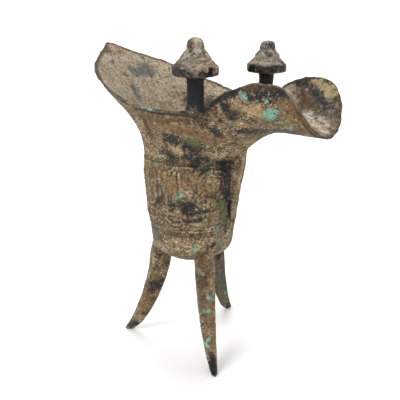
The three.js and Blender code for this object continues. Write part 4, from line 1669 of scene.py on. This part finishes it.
@dataclass(frozen=True)
class OldBronze:
    """Cast leaded bronze under a burial crust: earth-brown and tan over dark oxide, in places
    blue-black where the crust is gone, with spots of malachite. The eye sees a dry, mottled,
    finely pitted surface that is only dully glossy where the dark oxide shows."""

    khaki: str = "#83735a"
    mottles: tuple = (
        Mottle("#9b8768", 9.0, 0.42, 0.56, 1.0, 4.0),
        Mottle("#46341f", 4.5, 0.47, 0.56, 0.9, 8.0, 0.76),
        Mottle("#3b2c1d", 3.4, 0.5, 0.6, 0.6, 8.0, 0.74, 0.3),
        Mottle("#85592c", 6.5, 0.51, 0.6, 0.7, 8.0, 0.74),
        Mottle("#4a5138", 6.0, 0.55, 0.64, 0.6, 8.0, 0.74),
        Mottle("#131317", 8.0, 0.55, 0.6, 0.95, 10.0, 0.8),
        Mottle("#28241f", 17.0, 0.55, 0.63, 0.6, 9.0, 0.72),
        Mottle("#cbbb9d", 1.2, 0.51, 0.575, 0.95, 5.0, 0.75, 1.0, 9.0),
        Mottle("#dccfb6", 2.4, 0.565, 0.61, 0.9, 9.0, 0.88, 1.0, 14.0),
        Mottle("#bfb093", 1.7, 0.575, 0.63, 0.7, 4.0, 0.8, 1.0, 18.0),
    )
    cloud_detail: float = 3.0
    cloud_roughness: float = 0.6
    cloud_span: tuple = (0.44, 0.58, 0.15)
    crust_pit: Mottle = Mottle("#1b1714", 1.2, 0.465, 0.41, 1.0, 5.0, 0.78)
    pit: Mottle = Mottle("#171310", 1.4, 0.44, 0.385, 0.9, 4.0, 0.75)
    tints: tuple = (
        # Painted shade: darker towards the bottom, over the bowl's underside and the legs.
        Tint("#4a3b2a", "height", 76.0, 62.0, 0.2),
        # Painted shade: a dark band just under the lip, for the shadow along the rim.
        Tint("#2b241e", "lip", 0.5, 0.72, 0.8),
        # Painted highlight: a pale line along the lip's crest.
        Tint("#8d8270", "lip", 0.9, 0.96, 0.5),
        Tint("#36291b", "relief", 0.5, 0.3, 0.48),
        # Paler on the raised lines of the decor: rubbing wear and painted highlight.
        Tint("#a08a66", "relief", 0.66, 0.85, 0.42),
        # Outer corners made pale: rubbing wear and painted highlight, weaker on the lip.
        Tint("#b7a482", "bend", 0.02, 0.08, 0.45, 0.1),
        # Painted shade in the inner corners.
        Tint("#1b1714", "bend", -0.01, -0.07, 0.8),
    )
    lip_span: tuple = (0.3, 0.55)
    inner_tan: str = "#7f735f"
    inner_pale: str = "#aca190"
    brush: Grain = Grain(1.6, 3.0, 0.65)
    brush_turn: tuple = (0.0, 0.62, 0.5)
    brush_stretch: tuple = (0.06, 1.0, 1.0)
    brush_span: tuple = (0.36, 0.62)
    inner_cloud: Grain = Grain(16.0, 4.0, 0.6)
    inner_span: tuple = (0.4, 0.6, 0.8, 0.42)
    growths: tuple = (
        Growth(Patina.RUBBED, "#8d8271", "#bcb2a2", 3.0, 0.40, 0.35, 0.25, 0.0, 0.5, 0.15),
        Growth(Patina.AMBER, "#8b7150", "#5f4a30", 2.8, 1.6, 0.45, 0.45, 0.0, 0.75),
        Growth(Patina.UMBER, "#5a4c3d", "#3b322a", 3.2, 1.0, 0.40, 0.35, 0.3, 0.7),
        Growth(Patina.RUST, "#5c4631", "#3d2f22", 2.6, 1.1, 0.35, 0.5, 0.4, 0.8),
        Growth(Patina.OCHRE, "#7d5a34", "#4a3623", 3.0, 1.7, 0.40, 0.5, 0.35, 0.75),
        Growth(Patina.SAND, "#9a865d", "#b5a077", 1.8, 0.9, 0.25, 0.5, 0.3, 0.85, 0.0, 0.05),
        Growth(Patina.SMOKE, "#3f433f", "#5a5c54", 4.0, 1.0, 0.38, 0.3, 0.3, 0.6),
        Growth(Patina.SOOT_AND_SHADE, "#14151a", "#26262a", 3.4, 1.35, 0.12, 0.5, 0.35, 0.45, 0.1, -0.05),
        Growth(Patina.PITCH, "#0b0c11", "#15161c", 2.0, 0.5, 0.12, 0.04, 0.5, 0.4, 0.15),
        Growth(Patina.VERDIGRIS, "#3f4d33", "#5f6a49", 2.8, 1.3, 0.35, 0.5, 0.35, 0.75),
        Growth(Patina.ASH, "#626456", "#8b8b79", 1.6, 1.2, 0.30, 0.5, 0.25, 0.8),
        Growth(Patina.MALACHITE, "#4a806b", "#a0cbb8", 1.7, 0.9, 0.12, 0.3, 0.35, 0.8, 0.0, 0.1),
        Growth(Patina.WORN, "#d2cab8", "#7a6c5a", 2.2, 1.7, 0.30, 0.45, 0.0, 0.4, 0.35),
    )
    growth_detail: float = 8.0
    growth_roughness: float = 0.8
    growth_spread: tuple = (0.3, 0.7)
    growth_tone: tuple = (0.42, 0.6)
    rubbed_bend: tuple = (0.05, 0.11, 1.0, 0.35)
    rubbed_relief: tuple = (0.66, 0.85, 1.0, 0.55)
    holes: Grain = Grain(1.7, 5.0, 0.75)
    holes_span: tuple = (0.525, 0.575, 1.0)
    present_span: tuple = (0.02, 0.2)
    halo_span: tuple = (0.05, 0.6, 0.0)
    roughness: float = 0.82
    specular: float = 0.22
    grit: Grain = Grain(1.5, 5.0, 0.7)
    grit_height: float = 1.3
    dimple_spacing: float = 2.3
    dimple_span: tuple = (0.05, 0.24, -0.22, 0.0)
    relief_strength: float = 0.8

    def material(self) -> bpy.types.Material:
        """Makes the material.

        Returns:
            The node material, which reads Object coordinates in mm and the mesh's own attributes.
        """
        made = bpy.data.materials.new("old_bronze_burial_crust")
        tree = cleared_tree(made)
        place = add_node(tree, "TexCoord", output="Object")
        to_mm = 1 / MILLIMETRE
        mm = add_node(tree, "Mapping", {"Vector": place, "Scale": (to_mm, to_mm, to_mm)})
        colour = self.mottled(tree, mm, linear(self.khaki), self.mottles)
        colour = self.mottled(tree, mm, colour, (self.crust_pit,))
        colour = self.inside(tree, mm, colour)
        colour = self.shaped(tree, mm, colour)
        colour, roughness, metallic, proud = self.patches(tree, mm, colour)
        colour = self.mottled(tree, mm, colour, (self.pit,))
        shader = add_node(tree, "BsdfPrincipled", {
            "Base Color": colour, "Roughness": roughness, "Metallic": metallic,
            "Normal": self.relief(tree, mm, proud), "Specular IOR Level": self.specular,
        })
        add_node(tree, "OutputMaterial", (shader,))
        return made

    def mottled(self, tree: Tree, mm: Socket, colour: Socket | tuple, mottles: tuple) -> Socket:
        """Lays mottles over a colour in turn, each read from its own part of the noise.

        Args:
            tree: the node tree.
            mm: place in mm.
            colour: the colour under them.
            mottles: what is laid over it.

        Returns:
            The colour.
        """
        for number, mottle in enumerate(mottles):
            moved = add_node(tree, "Mapping", {
                "Vector": mm, "Location": (31.0 * number, 17.0 * number, 11.0 * number),
                "Scale": (1.0, 1.0, 1.0 / mottle.stretch),
            })
            grain = Grain(mottle.lump, mottle.detail, mottle.roughness)
            mask = add_node(tree, "TexNoise", grain.at(moved))
            mask = (mask, mottle.begins, mottle.full, 0.0, mottle.strength)
            mask = add_node(tree, "MapRange", mask)
            if mottle.cloud:
                slow = Grain(mottle.cloud, self.cloud_detail, self.cloud_roughness)
                slow = add_node(tree, "TexNoise", slow.at(moved))
                slow = add_node(tree, "MapRange", (slow, *self.cloud_span))
                mask = add_node(tree, "Math", (mask, slow), operation="MULTIPLY")
            layer = {FACTOR: mask, UNDER: colour, OVER: linear(mottle.colour)}
            colour = add_node(tree, "Mix", layer, MIXED, data_type="RGBA")
        return colour

    def shaped(self, tree: Tree, mm: Socket, colour: Socket) -> Socket:
        """What follows the shape: painted shade darkens the bottom and the legs, a band of painted
        shade lies under the lip with a painted highlight on its crest, the ground of the decor is
        darker and its raised lines are paler from rubbing wear and painted highlight, painted shade
        lies in the inner corners, and the outer corners are pale from rubbing wear and painted
        highlight.

        Args:
            tree: the node tree.
            mm: place in mm.
            colour: the crust's colour.

        Returns:
            The colour.
        """
        measures = {
            name: add_node(tree, "Attribute", output="Fac", attribute_name=name)
            for name in ("relief", "bend", "lip")
        }
        measures["height"] = add_node(tree, "SeparateXYZ", (mm,), "Z")
        for tint in self.tints:
            strength = tint.strength if tint.on_lip is None else 1.0
            span = (measures[tint.measure], tint.begins, tint.full, 0.0, strength)
            mask = add_node(tree, "MapRange", span)
            if tint.on_lip is not None:
                span = (measures["lip"], *self.lip_span, tint.strength, tint.on_lip)
                clear = add_node(tree, "MapRange", span)
                mask = add_node(tree, "Math", (mask, clear), operation="MULTIPLY")
            layer = {FACTOR: mask, UNDER: colour, OVER: linear(tint.colour)}
            colour = add_node(tree, "Mix", layer, MIXED, data_type="RGBA")
        return colour

    def inside(self, tree: Tree, mm: Socket, colour: Socket) -> Socket:
        """The inside of the vessel: paler and greyer, with fine brush marks that run down the
        tail, drawn as noise stretched sixteen times along them, stronger in some places.

        Args:
            tree: the node tree.
            mm: place in mm.
            colour: colour of the outside.

        Returns:
            The colour of both.
        """
        turned = add_node(tree, "Mapping", {
            "Vector": mm, "Rotation": self.brush_turn, "Scale": self.brush_stretch,
        })
        marks = add_node(tree, "TexNoise", self.brush.at(turned))
        marks = add_node(tree, "MapRange", (marks, *self.brush_span))
        slow = add_node(tree, "TexNoise", self.inner_cloud.at(mm))
        share = add_node(tree, "MapRange", (slow, *self.inner_span))
        inner = add_node(tree, "Attribute", output="Fac", attribute_name="inner")
        over = linear(self.inner_pale)
        for mask, under in ((marks, linear(self.inner_tan)), (share, colour), (inner, colour)):
            layer = {FACTOR: mask, UNDER: under, OVER: over}
            over = add_node(tree, "Mix", layer, MIXED, data_type="RGBA")
        return over

    def patches(self, tree: Tree, mm: Socket, colour: Socket) -> tuple:
        """Lays each kind of patch over the crust.

        A patch's weight is a half at its edge. Noise pushes the weight up and down, a step about
        a half gives the ragged outline, and a fine noise takes holes out of it. Outer corners and
        high relief are rubbed free of it.

        Args:
            tree: the node tree.
            mm: place in mm.
            colour: the crust's colour.

        Returns:
            Colour, roughness, metallic and how proud the surface stands, as sockets.
        """
        roughness, metallic, proud = self.roughness, 0.0, 0.0
        bend, relief = (
            add_node(tree, "Attribute", output="Fac", attribute_name=name)
            for name in ("bend", "relief")
        )
        rubbed = add_node(tree, "MapRange", (bend, *self.rubbed_bend))
        raised = add_node(tree, "MapRange", (relief, *self.rubbed_relief))
        rubbed = add_node(tree, "Math", (rubbed, raised), operation="MULTIPLY")
        for number, growth in enumerate(self.growths):
            weight = add_node(tree, "Attribute", output="Fac", attribute_name=growth.kind.value)
            moved = add_node(tree, "Mapping", {
                "Vector": mm, "Location": (13.0 * number, 7.0 * number, 3.0 * number),
            })
            grain = Grain(growth.lump, self.growth_detail, self.growth_roughness)
            lumps = add_node(tree, "TexNoise", grain.at(moved))
            push = (lumps, *self.growth_spread, -growth.ragged / 2, growth.ragged / 2)
            push = add_node(tree, "MapRange", push)
            pushed = add_node(tree, "Math", (weight, push), operation="ADD")
            step = (pushed, 0.5 - growth.softness, 0.5 + growth.softness)
            mask = add_node(tree, "MapRange", step, interpolation_type="SMOOTHSTEP")
            kept = add_node(tree, "TexNoise", self.holes.at(moved))
            kept = add_node(tree, "MapRange", (kept, *self.holes_span, 1.0 - 2 * growth.holes))
            present = add_node(tree, "MapRange", (weight, *self.present_span))
            halo = (pushed, *self.halo_span, growth.halo)
            halo = add_node(tree, "MapRange", halo, interpolation_type="SMOOTHSTEP")
            halo = add_node(tree, "Math", (halo, present), operation="MULTIPLY")
            kept = add_node(tree, "Math", (kept, present), operation="MULTIPLY", use_clamp=True)
            for factor in (rubbed, kept):
                mask = add_node(tree, "Math", (mask, factor), operation="MULTIPLY")
            tone = add_node(tree, "MapRange", (lumps, *self.growth_tone))
            main, second = linear(growth.colour), linear(growth.mottle)
            layer = {FACTOR: tone, UNDER: main, OVER: second}
            own = add_node(tree, "Mix", layer, MIXED, data_type="RGBA")
            for factor, over in ((halo, main), (mask, own)):
                layer = {FACTOR: factor, UNDER: colour, OVER: over}
                colour = add_node(tree, "Mix", layer, MIXED, data_type="RGBA")
            under = (roughness, metallic, proud)
            over = (growth.roughness, growth.metallic, growth.proud)
            roughness, metallic, proud = (
                add_node(tree, "Mix", {FACTOR: mask, VALUE_UNDER: low, VALUE_OVER: high})
                for low, high in zip(under, over)
            )
        return colour, roughness, metallic, proud

    def relief(self, tree: Tree, mm: Socket, proud: Socket) -> Socket:
        """Fine relief: grit of 1 mm and finer, pits 2 mm apart, and the patches that stand proud.

        Args:
            tree: the node tree.
            mm: place in mm.
            proud: height of the patches in mm.

        Returns:
            The bumped normal.
        """
        grit = add_node(tree, "TexNoise", self.grit.at(mm))
        grit = (grit, self.grit_height, proud)
        height = add_node(tree, "Math", grit, operation="MULTIPLY_ADD")
        dimples = {"Vector": mm, "Scale": 1 / self.dimple_spacing}
        dimples = add_node(tree, "TexVoronoi", dimples, "Distance")
        dimples = (dimples, *self.dimple_span)
        dimples = add_node(tree, "MapRange", dimples, interpolation_type="SMOOTHSTEP")
        height = add_node(tree, "Math", (height, dimples), operation="ADD")
        return add_node(tree, "Bump", {
            "Height": height, "Distance": MILLIMETRE, "Strength": self.relief_strength,
        })


@dataclass(frozen=True)
class PaleBoard:
    """Painted board, matt white: it gives the object soft shadows and nothing else."""

    colour: str = "#dbdbda"
    cloud_colour: str = "#dfdfde"
    cloud_scale: float = 4.0
    roughness: float = 0.9

    def material(self) -> bpy.types.Material:
        """Makes the material.

        Returns:
            The node material, white with a faint slow cloudiness.
        """
        made = bpy.data.materials.new("pale_painted_board")
        tree = cleared_tree(made)
        place = add_node(tree, "TexCoord", output="Object")
        cloud = add_node(tree, "TexNoise", {"Vector": place, "Scale": self.cloud_scale})
        layer = {FACTOR: cloud, UNDER: linear(self.colour), OVER: linear(self.cloud_colour)}
        colour = add_node(tree, "Mix", layer, MIXED, data_type="RGBA")
        board = {"Base Color": colour, "Roughness": self.roughness}
        add_node(tree, "OutputMaterial", (add_node(tree, "BsdfPrincipled", board),))
        return made


# ---------------------------------------------------------------- studio


@dataclass(frozen=True)
class Lamp:
    """A square soft light that faces a target: its place and its width in metres, and its power
    in watts."""

    name: str
    place: tuple
    size: float
    power: float
    target: tuple = (0, 0, 0.1)

    def build(self) -> None:
        """Adds the light to the scene."""
        data = bpy.data.lights.new(self.name, "AREA")
        data.size, data.energy = self.size, self.power
        lamp = bpy.data.objects.new(self.name, data)
        lamp.location = self.place
        ahead = Vector(self.target) - Vector(self.place)
        lamp.rotation_euler = ahead.to_track_quat("-Z", "Y").to_euler()
        bpy.context.scene.collection.objects.link(lamp)


@dataclass
class Studio:
    """Pale floor that curves up behind, soft lights and the camera. Sizes in metres."""

    floor_front: float = 1.2
    floor_side: float = 1.6
    bend_start: float = 1.4
    bend_radius: float = 0.9
    wall_height: float = 2.2
    level_rows: int = 12
    bend_rows: int = 25
    wall_rows: int = 6
    columns: int = 9
    lens: float = 40.83
    sensor: float = 36.0
    camera_azimuth: float = 40.0
    camera_pitch: float = 19.81
    camera_roll: float = 0.39
    camera_yaw: float = -0.97
    camera_reach: float = 0.2721
    camera_height: float = 0.2003
    clip: tuple = (0.01, 20)
    lamps: tuple = (
        Lamp("key", (-0.35, -1.0, 1.15), 0.8, 17.0),
        Lamp("fill", (1.1, -0.35, 0.7), 1.1, 5.0),
        Lamp("top", (0.0, 0.3, 1.4), 1.4, 12.0),
        Lamp("backdrop", (-0.75, 0.9, 2.0), 1.6, 46.0, (-1.4, 1.7, 0.6)),
    )
    sky_span: tuple = (0.32, 0.6, 1.0, 0.33)

    def floor(self) -> bpy.types.Object:
        """A sheet that is level, then bends up along a quarter circle, then stands upright.

        Returns:
            The floor.
        """
        radius = self.bend_radius
        bend = np.linspace(0, np.pi / 2, self.bend_rows)
        level = np.linspace(-self.floor_front, self.bend_start, self.level_rows)[:-1]
        upright = np.linspace(radius, self.wall_height, self.wall_rows)[1:]
        out = np.r_[level, self.bend_start + radius * np.r_[np.sin(bend), np.ones(len(upright))]]
        up = np.r_[np.zeros(len(level)), radius * (1 - np.cos(bend)), upright]
        side = np.linspace(-self.floor_side, self.floor_side, self.columns)
        azimuth = math.radians(self.camera_azimuth)
        away = np.array([-math.sin(azimuth), math.cos(azimuth), 0])
        across = np.array([math.cos(azimuth), math.sin(azimuth), 0])
        points = out[:, None, None] * away + side[None, :, None] * across
        points[..., 2] += up[:, None]
        rows, columns = points.shape[:2]
        index = np.arange(rows * columns).reshape(rows, columns)
        quads = np.stack([index[:-1, :-1], index[:-1, 1:], index[1:, 1:], index[1:, :-1]], -1)
        mesh = bpy.data.meshes.new("studio_floor")
        mesh.from_pydata(points.reshape(-1, 3).tolist(), [], quads.reshape(-1, 4).tolist())
        mesh.shade_smooth()
        mesh.materials.append(PaleBoard().material())
        made = bpy.data.objects.new("studio_floor", mesh)
        bpy.context.scene.collection.objects.link(made)
        return made

    def camera(self) -> bpy.types.Object:
        """The camera at the photographed angle: beside the axis at an azimuth, looking down by
        the pitch, turned a little by yaw and roll.

        Returns:
            The camera, set as the scene's own.
        """
        angles = (self.camera_azimuth, self.camera_pitch, self.camera_roll, self.camera_yaw)
        azimuth, pitch, roll, yaw = (math.radians(angle) for angle in angles)
        heading = Vector((-math.sin(azimuth), math.cos(azimuth), 0))
        turned = Matrix.Rotation(yaw, 3, "Z") @ heading
        ahead = turned * math.cos(pitch) - Vector((0, 0, math.sin(pitch)))
        level = ahead.cross(Vector((0, 0, 1))).normalized()
        upright = level.cross(ahead)
        right = level * math.cos(roll) + upright * math.sin(roll)
        up = upright * math.cos(roll) - level * math.sin(roll)
        data = bpy.data.cameras.new("camera")
        data.lens, data.sensor_width = self.lens, self.sensor
        data.clip_start, data.clip_end = self.clip
        made = bpy.data.objects.new("camera", data)
        place = Vector((0, 0, self.camera_height)) - heading * self.camera_reach
        place += Vector((AXIS_TO_ROW * MILLIMETRE).tolist())
        turn = Matrix((right, up, -ahead)).transposed().to_4x4()
        made.matrix_world = Matrix.Translation(place) @ turn
        bpy.context.scene.collection.objects.link(made)
        bpy.context.scene.camera = made
        return made

    def sky(self) -> bpy.types.World:
        """The surrounding light, which is white near the horizon and a third as strong overhead.

        Returns:
            The world.
        """
        world = bpy.data.worlds.new("studio_light")
        tree = cleared_tree(world)
        way = add_node(tree, "TexCoord", output="Generated")
        up = add_node(tree, "SeparateXYZ", (way,), "Z")
        strength = add_node(tree, "MapRange", (up, *self.sky_span))
        white = {"Color": (1.0, 1.0, 1.0, 1.0), "Strength": strength}
        add_node(tree, "OutputWorld", (add_node(tree, "Background", white),))
        return world

    def build(self) -> None:
        """Sets up the floor, the lights, the surrounding light and the camera."""
        self.floor()
        for lamp in self.lamps:
            lamp.build()
        bpy.context.scene.world = self.sky()
        bpy.context.scene.view_settings.view_transform = "Standard"
        self.camera()


def write_sizes() -> None:
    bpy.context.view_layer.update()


def main() -> None:
    """Builds the object, then the studio round it."""
    logging.basicConfig(level=logging.INFO, format="%(name)s: %(message)s")
    Casting().build(OldBronze())
    Studio().build()
    log.info("studio ready")
    write_sizes()


if __name__ == "__main__":
    main()
